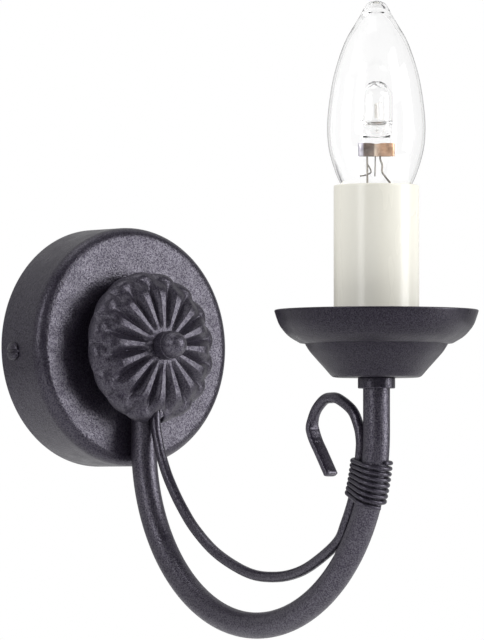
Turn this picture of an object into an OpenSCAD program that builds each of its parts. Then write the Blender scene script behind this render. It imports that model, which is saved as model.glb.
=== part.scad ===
// Candle wall light: a drum cover on the wall, a U-shaped arm with a scroll bound to it,
// a drip pan and an electric candle.
// Frame: the wall is the plane y = 0, the light reaches out towards -y and z is up.
// The origin is the centre of the cover's back edge, on the wall.

/* [Wall cover] */
// Outside diameter of the drum cover
cover_d = 90; // [84:1:110]
// How far the cover stands out from the wall
cover_depth = 24.4; // [22:0.1:30]
// Sheet thickness of the cover
cover_wall = 1.2; // [0.8:0.1:1.6]
// Rounding of the cover's front edge
cover_edge_r = 4.5; // [2:0.1:6]
// Distance of the side screws from the wall
side_screw_depth = 8.2; // [7.5:0.1:10]
// Drop of the side screws below the cover's centre
side_screw_drop = 2; // [0:0.1:3]
// Thread diameter of the side screws
side_screw_d = 4; // [3:0.5:4]
// Head diameter of the side screws
side_screw_head_d = 6.8; // [6:0.1:8]

/* [Wall bracket] */
// Sheet thickness of the bracket
bracket_t = 1.5; // [1:0.1:2]
// Height of the bracket plate
bracket_h = 44; // [36:1:50]
// Width of the bent ears that take the side screws
ear_w = 12; // [10:0.5:14]
// How far the ears stand out from the wall
ear_reach = 13; // [12:0.5:15]
// Distance between the two wall screws
wall_screw_spacing = 56; // [46:1:60]
// Width of the slots for the wall screws
wall_slot_w = 4.8; // [4:0.1:6]
// Length of the slots for the wall screws
wall_slot_len = 10; // [8:0.5:12]
// Bore of the cable grommet
cable_bore = 8; // [6:0.5:9]
// Outside diameter of the cable grommet's neck
grommet_d = 11; // [10.5:0.5:13]

/* [Terminal block] */
// Length of the three-way terminal block
block_len = 30; // [27:1:33]
// Width of the terminal block
block_w = 12; // [11:0.5:14]
// Thickness of the terminal block
block_t = 11; // [9:0.5:12]
// Height of the terminal block's lower side above the centre
block_rise = 8.5; // [8:0.5:9.5]
// Spacing of the three ways
way_pitch = 10; // [8.5:0.5:10.5]
// Outside diameter of the brass inserts
insert_d = 4.6; // [4:0.1:5]

/* [Hub and rosette] */
// Diameter of the turned hub behind the rosette
hub_d = 20; // [18:0.5:22]
// Thread diameter of the hub's hollow spigot
spigot_d = 10; // [9:0.5:12]
// Bore of the spigot for the wires
spigot_bore = 7; // [6.5:0.1:7.5]
// Length of the spigot behind the cover's front
spigot_len = 8.5; // [8:0.5:10]
// Radius of the rosette at its rim
rosette_r = 28.6; // [28:0.1:30]
// Distance of the rosette's rim from the wall
rosette_rim_out = 31.6; // [31.5:0.1:34.5]
// Distance of the rosette's flat centre from the wall
rosette_face_out = 42; // [41.5:0.1:44]
// Sheet thickness of the rosette
rosette_t = 0.9; // [0.6:0.1:1.2]
// Number of petals
petals = 16; // [12:4:20]
// How far a petal slopes down towards the rim, as a share of the rosette's depth
petal_slope = 0.5; // [0.3:0.05:0.55]
// How far the rim steps in between two petals, as a share of its radius
petal_scallop = 0.02; // [0:0.01:0.05]
// Tilt of the rosette, pushed out at the bottom by the scroll
rosette_tilt = 3.5; // [3:0.5:4]
// Turn of the rosette about its own axis
rosette_turn = -3; // [-5:0.5:5]
// Diameter of the domed finial nut
finial_d = 10.6; // [9:0.1:13]
// Height of the domed finial nut
finial_h = 10.7; // [8:0.1:12]
// Diameter of the stud that holds the finial
stud_d = 5; // [4:0.5:5]

/* [Arm] */
// Outside diameter of the arm tube
tube_d = 9.6; // [9:0.1:10]
// Wall of the arm tube
tube_wall = 1; // [0.8:0.1:1.2]
// Distance of the arm's vertical leg from the wall
leg_out = 29.5; // [29.4:0.1:30]
// Bend radius of the quarter nearest the wall
wall_bend_r = 67; // [60:1:75]
// Bend radius of the quarter under the candle
candle_bend_r = 70; // [68:1:80]
// Depth of the bend's lowest point below the cover's centre
bend_drop = 103.4; // [94:0.1:115]

/* [Scroll] */
// Diameter of the scroll rod
rod_d = 3.9; // [3:0.1:4.5]
// Distance of the scroll's upper end from the wall
rod_out = 36.5; // [36.3:0.1:37]
// Sideways lean of the scroll where it is bound to the arm
scroll_lean = 1.4; // [0:0.1:2]
// Width of the hammered end of the scroll
hammered_w = 5.7; // [4:0.1:7]
// Thickness of the hammered end of the scroll
hammered_t = 2.5; // [1.6:0.1:3]
// Thickness of the binding wire
wire_d = 1.25; // [1:0.05:1.25]
// Rise of the binding wire in each turn
wire_pitch = 1.92; // [1.91:0.01:2.1]
// Number of turns of the binding wire
wire_turns = 8; // [4:1:9]
// Distance of the first turn below the start of the candle's bend
binding_below = 10.2; // [9.6:0.1:14.6]

/* [Drip pan] */
// Radius of the pan's rim
pan_r = 36.5; // [33:0.1:42]
// Height of the rim above the cover's centre
pan_rim_z = 10.1; // [8:0.1:14]
// Height of the pan from floor to rim
pan_h = 24.1; // [23:0.1:26]
// Sheet thickness of the pan
pan_t = 1; // [0.7:0.1:1.2]
// Radius of the pan's flat floor
pan_floor_r = 15.9; // [15.8:0.1:17]
// Diameter of the collar under the pan
collar_d = 13.3; // [12:0.1:16]
// Height of the collar
collar_h = 3.9; // [3:0.1:6]

/* [Candle] */
// Outside diameter of the candle sleeve
sleeve_d = 30.4; // [29.6:0.1:30.4]
// Wall of the candle sleeve
sleeve_wall = 1.5; // [1:0.1:1.6]
// Length of the candle sleeve
sleeve_len = 67.4; // [64:0.1:70]
// Outside diameter of the lampholder
holder_d = 25; // [24.5:0.1:25.5]
// Height of the lamp's contact above the lampholder's base
holder_chamber = 9.4; // [9:0.1:10]
// How far the lampholder's mouth lies below the sleeve's mouth
holder_depth = 8; // [7.5:0.1:9]

/* [Lamp] */
// Largest diameter of the candle lamp
lamp_d = 35; // [33:0.1:37]
// Length of glass that shows above the sleeve
lamp_showing = 65.9; // [62:0.1:68]
// Whole length of the lamp
lamp_len = 97; // [88:0.5:108]
// Wall of the lamp glass
glass_wall = 0.8; // [0.6:0.1:1]
// Diameter of the threaded lamp cap
cap_d = 13.4; // [13:0.1:13.6]
// Diameter of the halogen capsule
capsule_d = 11.5; // [10:0.1:13]
// Turn of the lamp's inner parts about the candle's axis
lamp_turn = -38; // [-90:1:90]

/* [Hidden] */
$fn = 96;

// Colours
black = [0.2, 0.19, 0.21];
zinc = [0.72, 0.73, 0.74];
brass = [0.8, 0.66, 0.35];
nickel = [0.78, 0.77, 0.74];
cream = [0.93, 0.91, 0.84];
white_plastic = [0.9, 0.9, 0.88];
clear = [0.85, 0.9, 0.92, 0.35];

// Clearances
seat_gap = 0.02;
loose_gap = 0.3;

// Places that follow from the sizes above
arm_centre_out = leg_out + wall_bend_r;
candle_out = arm_centre_out + candle_bend_r;
wall_bend_z = wall_bend_r - bend_drop;
candle_bend_z = candle_bend_r - bend_drop;
tube_bore = tube_d - 2 * tube_wall;
pan_bottom_z = pan_rim_z - pan_h;
pan_floor_z = pan_bottom_z + pan_t;
sleeve_top_z = pan_floor_z + sleeve_len;
lamp_tip_z = sleeve_top_z + lamp_showing;
lamp_contact_z = lamp_tip_z - lamp_len;
holder_top_z = sleeve_top_z - holder_depth;
holder_body_z = lamp_contact_z - holder_chamber;
holder_body_len = holder_top_z - holder_body_z;
cover_face_in = cover_depth - cover_wall;

// Curves and sweeps

function unit(v) = v / norm(v);

// Points on a circular arc in the plane
function arc_points(centre, r, from, to, steps) =
    [for (i = [0:steps])
        let (a = from + (to - from) * i / steps)
        centre + r * [cos(a), sin(a)]];

// One point of the smooth curve through four neighbouring points, t from the second to the third
function curve_point(a, b, c, d, t) =
    0.5 * (2 * b + (c - a) * t + (2 * a - 5 * b + 4 * c - d) * t * t + (3 * b - a - 3 * c + d) * t * t * t);

// Smooth curve through all points of a list
function smooth_curve(points, steps) =
    let (last = len(points) - 1)
    concat(
        [for (i = [0:last - 1]) for (s = [0:steps - 1])
            curve_point(
                points[max(i - 1, 0)], points[i], points[i + 1], points[min(i + 2, last)], s / steps
            )],
        [points[last]]
    );

// Direction of a path at one of its points
function heading(path, i) = unit(path[min(i + 1, len(path) - 1)] - path[max(i - 1, 0)]);

function square_to(v, direction) = unit(v - (v * direction) * direction);

// A side vector at each point of a path, carried along it without twisting
function carried_sides(path, first) =
    [for (
        i = 0, side = square_to(first, heading(path, 0));
        i < len(path);
        i = i + 1, side = i < len(path) ? square_to(side, heading(path, i)) : side
    ) side];

// Signed power, which squares up an ellipse as the power falls below 1
function bulge(value, power) = sign(value) * pow(abs(value), power);

// A rod along a path, with a width, a thickness and a squareness at each ring
module swept_rod(path, first_side, half_widths, half_thicknesses, powers, sides) {
    rings = len(path);
    across = carried_sides(path, first_side);
    points = [for (i = [0:rings - 1])
        let (through = cross(heading(path, i), across[i]))
        for (j = [0:sides - 1])
            let (a = 360 * j / sides)
            path[i] + half_widths[i] * bulge(cos(a), powers[i]) * across[i]
                + half_thicknesses[i] * bulge(sin(a), powers[i]) * through];
    walls = [for (i = [0:rings - 2]) for (j = [0:sides - 1])
        let (a = i * sides + j, b = i * sides + (j + 1) % sides)
        each [[a, a + sides, b + sides], [a, b + sides, b]]];
    first_end = [for (j = [1:sides - 2]) [0, j, j + 1]];
    end = (rings - 1) * sides;
    last_end = [for (j = [1:sides - 2]) [end, end + j + 1, end + j]];
    polyhedron(points, concat(walls, first_end, last_end), convexity = 8);
}

// A round tube or wire along a path
module swept_wire(path, first_side, d, sides) {
    same = [for (p = path) d / 2];
    plain = [for (p = path) 1];
    swept_rod(path, first_side, same, same, plain, sides);
}

// Turns a child so that its z axis points straight out from the wall
module out_from_wall() rotate([90, 0, 0]) children();

// Moves a child onto the candle's axis
module on_candle() translate([0, -candle_out, 0]) children();

module ring(d_out, d_in, h) {
    difference() {
        cylinder(d = d_out, h = h);
        translate([0, 0, -1]) cylinder(d = d_in, h = h + 2);
    }
}

// Wall bracket: a plate with two bent ears

ear_x = sqrt(pow(cover_d / 2 - cover_wall - loose_gap, 2) - pow(ear_w / 2 + side_screw_drop, 2));
ear_mid_x = ear_x - bracket_t / 2;
plate_r = cover_d / 2 - cover_wall - 2 * loose_gap;
ear_screw_d = side_screw_d - 2 * seat_gap;
earth_screw_at = [-16, -15];
earth_screw_d = 4;

module wall_bracket() {
    color(zinc) difference() {
        union() {
            out_from_wall() intersection() {
                cylinder(r = plate_r, h = bracket_t);
                translate([-ear_x, -bracket_h / 2, 0]) cube([2 * ear_x, bracket_h, bracket_t]);
            }
            for (side = [-1, 1])
                translate([side * ear_mid_x - bracket_t / 2, -ear_reach, -side_screw_drop - ear_w / 2])
                    cube([bracket_t, ear_reach, ear_w]);
        }
        for (side = [-1, 1]) {
            translate([side * wall_screw_spacing / 2, 0, 0]) wall_slot();
            translate([side * ear_mid_x, -side_screw_depth, -side_screw_drop])
                rotate([0, 90, 0]) cylinder(d = side_screw_d, h = 2 * bracket_t, center = true);
        }
        translate([0, 1, 0]) out_from_wall() cylinder(d = grommet_d, h = bracket_t + 2);
        translate([earth_screw_at[0], 1, earth_screw_at[1]])
            out_from_wall() cylinder(d = earth_screw_d, h = bracket_t + 2);
    }
}

// A slot with round ends, lying along x
module wall_slot() {
    straight = wall_slot_len - wall_slot_w;
    translate([0, 1, 0]) out_from_wall() {
        translate([-straight / 2, -wall_slot_w / 2, 0]) cube([straight, wall_slot_w, bracket_t + 2]);
        for (end = [-1, 1])
            translate([end * straight / 2, 0, 0]) cylinder(d = wall_slot_w, h = bracket_t + 2);
    }
}

// Rubber grommet in the bracket, its back face on the wall

grommet_lip = 1.5;

module cable_grommet() {
    color("dimgray") out_from_wall() difference() {
        union() {
            cylinder(d = grommet_d - 2 * seat_gap, h = bracket_t + grommet_lip);
            translate([0, 0, bracket_t]) cylinder(d = grommet_d + 2 * grommet_lip, h = grommet_lip);
        }
        translate([0, 0, -1]) cylinder(d = cable_bore, h = bracket_t + grommet_lip + 2);
    }
}

// Three-way terminal block, screwed flat on the bracket

way_out = bracket_t + block_t / 2;
way_screw_d = 2.6;
way_screw_head_d = 3.6;
way_screw_inset = 3;

module terminal_block() {
    color(white_plastic) difference() {
        translate([-block_len / 2, -bracket_t - block_t, block_rise]) cube([block_len, block_t, block_w]);
        for (way = [-1:1]) {
            translate([way * way_pitch, -way_out, block_rise - 1]) cylinder(d = insert_d, h = block_w + 2);
            for (z = way_screw_heights())
                translate([way * way_pitch, -way_out, z])
                    out_from_wall() cylinder(d = way_screw_head_d + loose_gap, h = block_t);
        }
    }
}

function way_screw_heights() = [block_rise + way_screw_inset, block_rise + block_w - way_screw_inset];

module terminal_inserts() {
    color(brass) for (way = [-1:1]) translate([way * way_pitch, -way_out, block_rise]) difference() {
        cylinder(d = insert_d - 2 * seat_gap, h = block_w);
        translate([0, 0, -1]) cylinder(d = insert_d - 2, h = block_w + 2);
        for (z = way_screw_heights())
            translate([0, 0, z - block_rise]) out_from_wall() cylinder(d = way_screw_d, h = insert_d);
    }
}

module terminal_screws() {
    tip_out = way_out + 0.4;
    head_out = way_out + insert_d / 2;
    head_h = block_t / 2 - insert_d / 2 - 0.6;
    color(zinc) for (way = [-1:1]) for (z = way_screw_heights()) translate([way * way_pitch, 0, z])
        out_from_wall() difference() {
            union() {
                translate([0, 0, tip_out]) cylinder(d = way_screw_d - 2 * seat_gap, h = head_out - tip_out);
                translate([0, 0, head_out]) cylinder(d = way_screw_head_d, h = head_h);
            }
            translate([-way_screw_head_d, -0.25, head_out + head_h - 0.6])
                cube([2 * way_screw_head_d, 0.5, 1]);
        }
}

// Earth screw, tags and wire

tag_t = 0.8;
tag_d = 8;
hub_tag_d = 15;
washer_t = 1.2;
washer_d = 18;
hub_nut_t = 3;
hub_nut_flats = 14;
wire_core_d = 2.2;
wire_lead = 0.6;
hub_tag_out = cover_face_in - washer_t - tag_t;
bracket_tag_out = bracket_t + tag_t;
barrel_d = 3.2;
barrel_len = 4;
bracket_tag_reach = tag_d / 2 + 1.5;
hub_tag_reach = 9.5;

module earth_screw() {
    head_h = 2.2;
    color(brass) translate([earth_screw_at[0], 0, earth_screw_at[1]]) out_from_wall() difference() {
        union() {
            cylinder(d = earth_screw_d - 2 * seat_gap, h = bracket_tag_out);
            translate([0, 0, bracket_tag_out]) cylinder(d = 7, h = head_h);
        }
        translate([-5, -0.5, bracket_tag_out + head_h - 1]) cube([10, 1, 2]);
    }
}

// A ring tag with a crimped barrel that points along +x
module ring_tag(d_ring, d_hole, reach) {
    difference() {
        union() {
            cylinder(d = d_ring, h = tag_t);
            translate([0, -barrel_d / 2, 0]) cube([reach, barrel_d, tag_t]);
        }
        translate([0, 0, -1]) cylinder(d = d_hole, h = tag_t + 2);
    }
    translate([reach, 0, barrel_d / 2]) rotate([0, 90, 0]) cylinder(d = barrel_d, h = barrel_len);
}

module earth_tags() {
    color(brass) {
        translate([earth_screw_at[0], -bracket_t, earth_screw_at[1]])
            out_from_wall() ring_tag(tag_d, earth_screw_d, bracket_tag_reach);
        translate([0, -hub_tag_out - tag_t, 0])
            out_from_wall() rotate([0, 0, -90]) mirror([0, 0, 1])
                ring_tag(hub_tag_d, spigot_d + 2 * seat_gap, hub_tag_reach);
    }
}

// The earth wire hangs in a loop from the bracket's tag to the hub's tag
earth_loop = [
    [-4, -3.3, -16.5], [-1.5, -5, -18.2], [0, -8.5, -19], [0.4, -12.5, -19.2],
    [0.3, -16.5, -18.5], [0.1, -19.2, -16.8], [0, -20, -15]
];

module earth_wire() {
    start = [
        earth_screw_at[0] + bracket_tag_reach + barrel_len,
        -bracket_t - barrel_d / 2,
        earth_screw_at[1]
    ];
    finish = [0, -hub_tag_out - tag_t + barrel_d / 2, -hub_tag_reach - barrel_len];
    color([0.55, 0.65, 0.2])
        swept_wire(
            concat(
                [start],
                smooth_curve(
                    concat([start + [wire_lead, 0, 0]], earth_loop, [finish - [0, 0, wire_lead]]), 3
                ),
                [finish]
            ),
            [0, 0, 1], wire_core_d, 8
        );
}

// Drum cover: a deep-drawn cup, open towards the wall

module wall_cover() {
    r = cover_d / 2;
    inner_edge_r = max(cover_edge_r - cover_wall, 0.5);
    outline = concat(
        [[0, 0], [r, 0]],
        arc_points([r - cover_edge_r, cover_depth - cover_edge_r], cover_edge_r, 0, 90, 10),
        [[0, cover_depth]]
    );
    hollow = concat(
        [[0, -1], [r - cover_wall, -1]],
        arc_points([r - cover_wall - inner_edge_r, cover_face_in - inner_edge_r], inner_edge_r, 0, 90, 8),
        [[0, cover_face_in]]
    );
    color(black) difference() {
        out_from_wall() difference() {
            rotate_extrude() polygon(outline);
            rotate_extrude() polygon(hollow);
            cylinder(d = spigot_d + 2 * seat_gap, h = cover_depth + 1);
        }
        translate([0, -side_screw_depth, -side_screw_drop])
            rotate([0, 90, 0]) cylinder(d = side_screw_d + 0.4, h = cover_d + 2, center = true);
    }
}

module cover_screws() {
    head_h = 1.8;
    shank_len = cover_d / 2 - ear_x + bracket_t + 1.5;
    seat_x = cover_d / 2 + seat_gap;
    for (side = [0, 1]) color(black) mirror([side, 0, 0])
        translate([seat_x, -side_screw_depth, -side_screw_drop]) rotate([0, 90, 0]) difference() {
            union() {
                translate([0, 0, -shank_len]) cylinder(d = ear_screw_d, h = shank_len);
                intersection() {
                    cylinder(d = side_screw_head_d, h = head_h);
                    translate([0, 0, head_h - side_screw_head_d]) sphere(r = side_screw_head_d);
                }
            }
            translate([-side_screw_head_d, -0.5, head_h - 0.8]) cube([2 * side_screw_head_d, 1, 1]);
        }
}

// Hub behind the rosette: arm and scroll are brazed into its underside

hub_front_out = rosette_face_out - rosette_t;
hub_nose_h = 1.4;
hub_nose_out = hub_front_out - hub_nose_h;
hub_nose_root = 1.6;
hub_body_out = hub_nose_out - 0.9;
rosette_flat_r = 6.5;
tube_end_z = -3;
rod_end_z = -5;
stud_hole_depth = 5.2;

// Tilts a child about the middle of the hub's front, as the rosette is tilted
module on_hub_front()
    translate([0, -hub_front_out, 0]) rotate([-rosette_tilt, 0, 0])
        translate([0, hub_front_out, 0]) children();

module arm_hub() {
    color(zinc) difference() {
        union() {
            out_from_wall() translate([0, 0, cover_depth])
                cylinder(d = hub_d, h = hub_body_out - cover_depth);
            on_hub_front() out_from_wall() translate([0, 0, hub_nose_out - hub_nose_root])
                cylinder(d1 = hub_d - 0.6, d2 = 2 * rosette_flat_r - 0.2, h = hub_nose_h + hub_nose_root);
            out_from_wall() translate([0, 0, cover_face_in - spigot_len])
                cylinder(d = spigot_d, h = spigot_len + 2 * cover_wall);
        }
        out_from_wall() translate([0, 0, cover_face_in - spigot_len - 1])
            cylinder(d = spigot_bore, h = leg_out - cover_face_in + spigot_len + 1);
        translate([0, -leg_out, -hub_d]) cylinder(d = tube_d + 2 * seat_gap, h = hub_d + tube_end_z);
        translate([0, -leg_out, tube_end_z - 1]) cylinder(d = tube_bore, h = 4 - tube_end_z);
        translate([0, -rod_out, -hub_d]) cylinder(d = rod_d + 4 * seat_gap, h = hub_d + rod_end_z);
        on_hub_front() out_from_wall() translate([0, 0, hub_front_out - stud_hole_depth])
            cylinder(d = stud_d + 2 * seat_gap, h = stud_hole_depth + 1);
    }
}

module hub_washer() {
    color(zinc) out_from_wall() translate([0, 0, cover_face_in - washer_t])
        ring(washer_d, spigot_d + 2 * seat_gap, washer_t);
}

module hub_nut() {
    color(brass) out_from_wall() translate([0, 0, hub_tag_out - hub_nut_t]) difference() {
        cylinder(d = hub_nut_flats / cos(30), h = hub_nut_t, $fn = 6);
        translate([0, 0, -1]) cylinder(d = spigot_d + 2 * seat_gap, h = hub_nut_t + 2);
    }
}

finial_hole_depth = finial_h - 2;

module finial_stud() {
    back = hub_front_out - stud_hole_depth + seat_gap;
    color(zinc) on_hub_front() out_from_wall() translate([0, 0, back])
        cylinder(d = stud_d, h = rosette_face_out + finial_hole_depth - back - seat_gap);
}

module finial_nut() {
    flank_h = 4.2;
    r = finial_d / 2;
    dome_r = r - 0.2;
    outline = concat(
        [[0, 0], [r - 0.3, 0], [r, 0.3], [r, flank_h]],
        [for (a = [0:10:90]) [dome_r * cos(a), flank_h + (finial_h - flank_h) * sin(a)]]
    );
    color(black) on_hub_front() out_from_wall() translate([0, 0, rosette_face_out]) difference() {
        rotate_extrude() polygon(outline);
        translate([0, 0, -1]) cylinder(d = stud_d + 2 * seat_gap, h = finial_hole_depth + 1);
    }
}

// Rosette: a pressed dish whose petals are troughs between flat ribs, and bulge at its shoulder

rosette_rings = 12;
petal_steps = 8;
rib_share = 0.34;
rib_fall = 3;
notch_top_z = -23.3;
notch_r = 2.7;
notch_h = 4.2;

// Heights over the rim, from 1 at the flat centre to 0 at the rim: a rib stays level and then falls along
// a straight line to the rim, and a petal's middle slopes evenly and falls steeply at the rim
function rib_height(share) =
    let (line = rib_fall * (1 - share)) line / pow(1 + pow(line, 14), 1 / 14);
function petal_height(share) = (1 - petal_slope * pow(share, 0.8)) * sqrt(1 - pow(share, 18));

// A point of the rosette's front or back, at a share of the way from the flat centre to the rim
function rosette_point(share, angle, back) =
    let (
        petal = abs(sin((angle - rosette_turn) * petals / 2)),
        trough = max(0, asin(petal) / 90 - rib_share) / (1 - rib_share),
        outer = min(1, max(0, (share - 0.76) / 0.14)),
        middle = trough + (pow(petal, 0.7) - trough) * outer,
        r = rosette_flat_r + (rosette_r - rosette_flat_r) * share,
        skirt = pow(share, 3),
        reach = r * (1 - petal_scallop * share * (1 - petal)) - back * skirt,
        rim_out = rosette_rim_out + rosette_t,
        height = rib_height(share) + (petal_height(share) - rib_height(share)) * middle
    )
    [
        reach * cos(angle), reach * sin(angle),
        rim_out + (rosette_face_out - rim_out) * height - back * (1 - 0.7 * skirt)
    ];

module rosette_shell() {
    around = petals * petal_steps;
    layer = rosette_rings * around;
    sheet = [for (back = [0, rosette_t]) for (i = [0:rosette_rings - 1]) for (j = [0:around - 1])
        rosette_point(sin(90 * i / (rosette_rings - 1)), 360 * j / around, back)];
    hub = [[0, 0, rosette_face_out], [0, 0, rosette_face_out - rosette_t]];
    front = [for (i = [0:rosette_rings - 2]) for (j = [0:around - 1])
        let (a = i * around + j, b = i * around + (j + 1) % around)
        each [[a, b, b + around], [a, b + around, a + around]]];
    rear = [for (f = front) [f[2] + layer, f[1] + layer, f[0] + layer]];
    rim = [for (j = [0:around - 1])
        let (a = layer - around + j, b = layer - around + (j + 1) % around)
        each [[a, b, b + layer], [a, b + layer, a + layer]]];
    centre = [for (j = [0:around - 1])
        let (next = (j + 1) % around)
        each [[2 * layer, next, j], [2 * layer + 1, j + layer, next + layer]]];
    polyhedron(concat(sheet, hub), concat(front, rear, rim, centre), convexity = 8);
}

module rosette() {
    color(black) difference() {
        on_hub_front() out_from_wall() difference() {
            rosette_shell();
            translate([0, 0, hub_front_out - 1]) cylinder(d = stud_d + 2 * seat_gap, h = 4);
        }
        translate([0, -cover_depth, notch_top_z - notch_h]) rotate([90, 0, 0])
            scale([notch_r, notch_h, 1]) cylinder(r = 1, h = rosette_face_out - cover_depth);
    }
}

// Arm: two straight legs joined by two quarter bends

tube_top_z = holder_body_z - 4;

// The arm's line, as a solid of diameter d, with both ends longer by extra
module arm_line(d, extra) {
    translate([0, -leg_out, wall_bend_z]) cylinder(d = d, h = tube_end_z - wall_bend_z + extra);
    translate([0, -candle_out, candle_bend_z]) cylinder(d = d, h = tube_top_z - candle_bend_z + extra);
    translate([0, -arm_centre_out, wall_bend_z]) rotate([90, 0, 90]) rotate([0, 0, 270])
        rotate_extrude(angle = 90) translate([wall_bend_r, 0]) circle(d = d);
    translate([0, -arm_centre_out, candle_bend_z]) rotate([90, 0, 90]) rotate([0, 0, 180])
        rotate_extrude(angle = 90) translate([candle_bend_r, 0]) circle(d = d);
}

module arm_tube() {
    color(black) difference() {
        arm_line(tube_d, 0);
        arm_line(tube_bore, 1);
    }
}

// Scroll: a round rod in one leaning plane, hammered flat towards its hooked tip

binding_angle = asin(binding_below / candle_bend_r);
rod_spacing = tube_d / 2 + rod_d / 2 + 5 * seat_gap;
bound_r = candle_bend_r - sqrt(rod_spacing * rod_spacing - scroll_lean * scroll_lean);

// A point of the bound stretch, as distance from the wall and height, at an angle below level
function bound_point(angle) = [arm_centre_out + bound_r * cos(angle), candle_bend_z - bound_r * sin(angle)];

// Chosen points of the sweep: distance out from the rod's upper end, and depth as a share of the bend's
sweep_from_rosette = [
    [0, 0.193], [0.3, 0.285], [2.3, 0.358], [5.4, 0.429], [9.4, 0.494], [16.4, 0.58], [25.5, 0.666],
    [39, 0.751], [57.5, 0.815], [73.2, 0.827], [86.8, 0.809], [98.3, 0.766]
];
hook_from_binding = [
    [0, 4.5], [-1.3, 8.9], [-4.9, 14.3], [-12.4, 18.4], [-16.9, 19], [-21, 18.3], [-25.6, 14.7],
    [-27.7, 10.6], [-27.8, 7.8], [-25.9, 3.8], [-22.8, -0.5], [-17.1, -8.6]
];
hammered_from = 5;
binding_point = bound_point(binding_angle - 2.5);

rod_line = smooth_curve(
    concat(
        [[rod_out, rod_end_z - seat_gap], [rod_out, -12]],
        [for (p = sweep_from_rosette) [rod_out + p[0], -p[1] * bend_drop]],
        [for (angle = [38, 31, 23, 15, binding_angle - 2.5]) bound_point(angle)],
        [for (p = hook_from_binding) binding_point + p]
    ),
    3
);
rod_lean_per_mm = scroll_lean / (arm_centre_out + bound_r * cos(15) - rod_out);

module scroll_rod() {
    path = [for (p = rod_line) [-(p[0] - rod_out) * rod_lean_per_mm, -p[0], p[1]]];
    flat_rings = hammered_from * 3;
    first_flat = len(path) - 1 - flat_rings;
    shares = [for (i = [0:len(path) - 1]) max(0, min(1, (i - first_flat) / (flat_rings / 2)))];
    widths = [for (s = shares) (rod_d + (hammered_w - rod_d) * s) / 2];
    thicknesses = [for (s = shares) (rod_d + (hammered_t - rod_d) * s) / 2];
    powers = [for (s = shares) 1 - 0.45 * s];
    color(black) swept_rod(path, [1, 0, 0], widths, thicknesses, powers, 12);
}

// Binding wire: one helix round arm and rod together, following the arm's bend

rings_per_turn = 24;
wire_gap = 0.12;
tube_turn_r = tube_d / 2 + wire_d / 2 + wire_gap;
rod_turn_r = rod_d / 2 + wire_d / 2 + wire_gap;
rod_side = 180 + asin(scroll_lean / rod_spacing);
rod_reach = acos((tube_turn_r - rod_turn_r) / rod_spacing);

// A point of the winding: the angle runs round the pair, the turn number runs down the arm
function binding_point_at(turn) =
    let (
        down = binding_angle + turn * wire_pitch / candle_bend_r * 180 / PI,
        angle = 360 * turn,
        off_rod = abs((angle - rod_side + 180) % 360 - 180),
        on_rod = min(off_rod, 360 - off_rod) <= rod_reach,
        away = on_rod
            ? rod_spacing * [cos(rod_side), sin(rod_side)] + rod_turn_r * [cos(angle), sin(angle)]
            : tube_turn_r * [cos(angle), sin(angle)],
        from_centre = candle_bend_r + away[0]
    )
    [away[1], -arm_centre_out - from_centre * cos(down), candle_bend_z - from_centre * sin(down)];

winding = [for (k = [0:wire_turns * rings_per_turn]) binding_point_at(k / rings_per_turn)];
binding_path = concat(
    [winding[0] - wire_d * heading(winding, 0)],
    winding,
    [winding[len(winding) - 1] + wire_d * heading(winding, len(winding) - 1)]
);

// Least gap between neighbouring turns, measured ring by ring
least_gap = min([for (i = [0:len(binding_path) - 1])
    for (j = [i + rings_per_turn / 2:1:min(i + 2 * rings_per_turn, len(binding_path) - 1)])
        norm(binding_path[i] - binding_path[j]) - wire_d]);
echo(binding_wire_least_gap = least_gap);  // binding_wire

module binding_wire() {
    color(black) swept_wire(binding_path, [0, 0, 1], wire_d, 6);
}

// The two insulated wires from the terminal block through hub and arm to the lampholder

wire_side = 1.6;
wire_end_z = holder_body_z + 3;

// Chosen points inside the cover, from the block's insert to the spigot, for one side
function block_route(side) = [
    [side * way_pitch, -way_out, block_rise], [side * way_pitch, -way_out - 0.2, block_rise - 2.5],
    [side * 8.5, -way_out - 1, block_rise - 5.5], [side * 5, -way_out - 2.4, block_rise - 8],
    [side * 2.4, -way_out - 4.8, block_rise - 8.5]
];

function spigot_route(side) = [
    [side * wire_side, -cover_face_in + spigot_len - 1, 0], [side * wire_side, -cover_face_in + 2, 0],
    [side * wire_side, -leg_out + 4, -0.2], [side * wire_side, -leg_out + 1.4, -2],
    [side * wire_side, -leg_out, -6]
];

// The line through the arm: down the leg, round both bends and up to the lampholder
function arm_route(side) = concat(
    [for (z = [-13:-7:wall_bend_z + 4]) [side * wire_side, -leg_out, z]],
    [for (a = [0:6:84])
        [side * wire_side, -arm_centre_out + wall_bend_r * cos(a), wall_bend_z - wall_bend_r * sin(a)]],
    [for (a = [90:6:180])
        [side * wire_side, candle_bend_r * cos(a) - arm_centre_out, candle_bend_z - candle_bend_r * sin(a)]],
    [for (z = [candle_bend_z + 6:7:tube_top_z - 3]) [side * wire_side, -candle_out, z]]
);

function holder_route(side) = [
    [side * wire_side, -candle_out, tube_top_z + 1], [side * (wire_side + 0.3), -candle_out, holder_body_z],
    [side * 2.4, -candle_out, wire_end_z - 1], [side * 3.4, -candle_out, wire_end_z],
    [side * (holder_block_x - wire_lead), -candle_out, wire_end_z]
];

module supply_wire(side) {
    path = concat(
        smooth_curve(concat(block_route(side), spigot_route(side)), 2),
        arm_route(side),
        smooth_curve(holder_route(side), 2),
        [[side * holder_block_x, -candle_out, wire_end_z]]
    );
    swept_wire(path, [1, 0, 0.01], wire_core_d, 8);
}

module live_wire() color([0.36, 0.2, 0.1]) supply_wire(-1);

module neutral_wire() color([0.15, 0.3, 0.7]) supply_wire(1);

// Collar, pan and nut on the upright end of the arm

module pan_collar() {
    color(black) on_candle() translate([0, 0, pan_bottom_z - collar_h])
        ring(collar_d, tube_d + 2 * seat_gap, collar_h);
}

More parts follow.
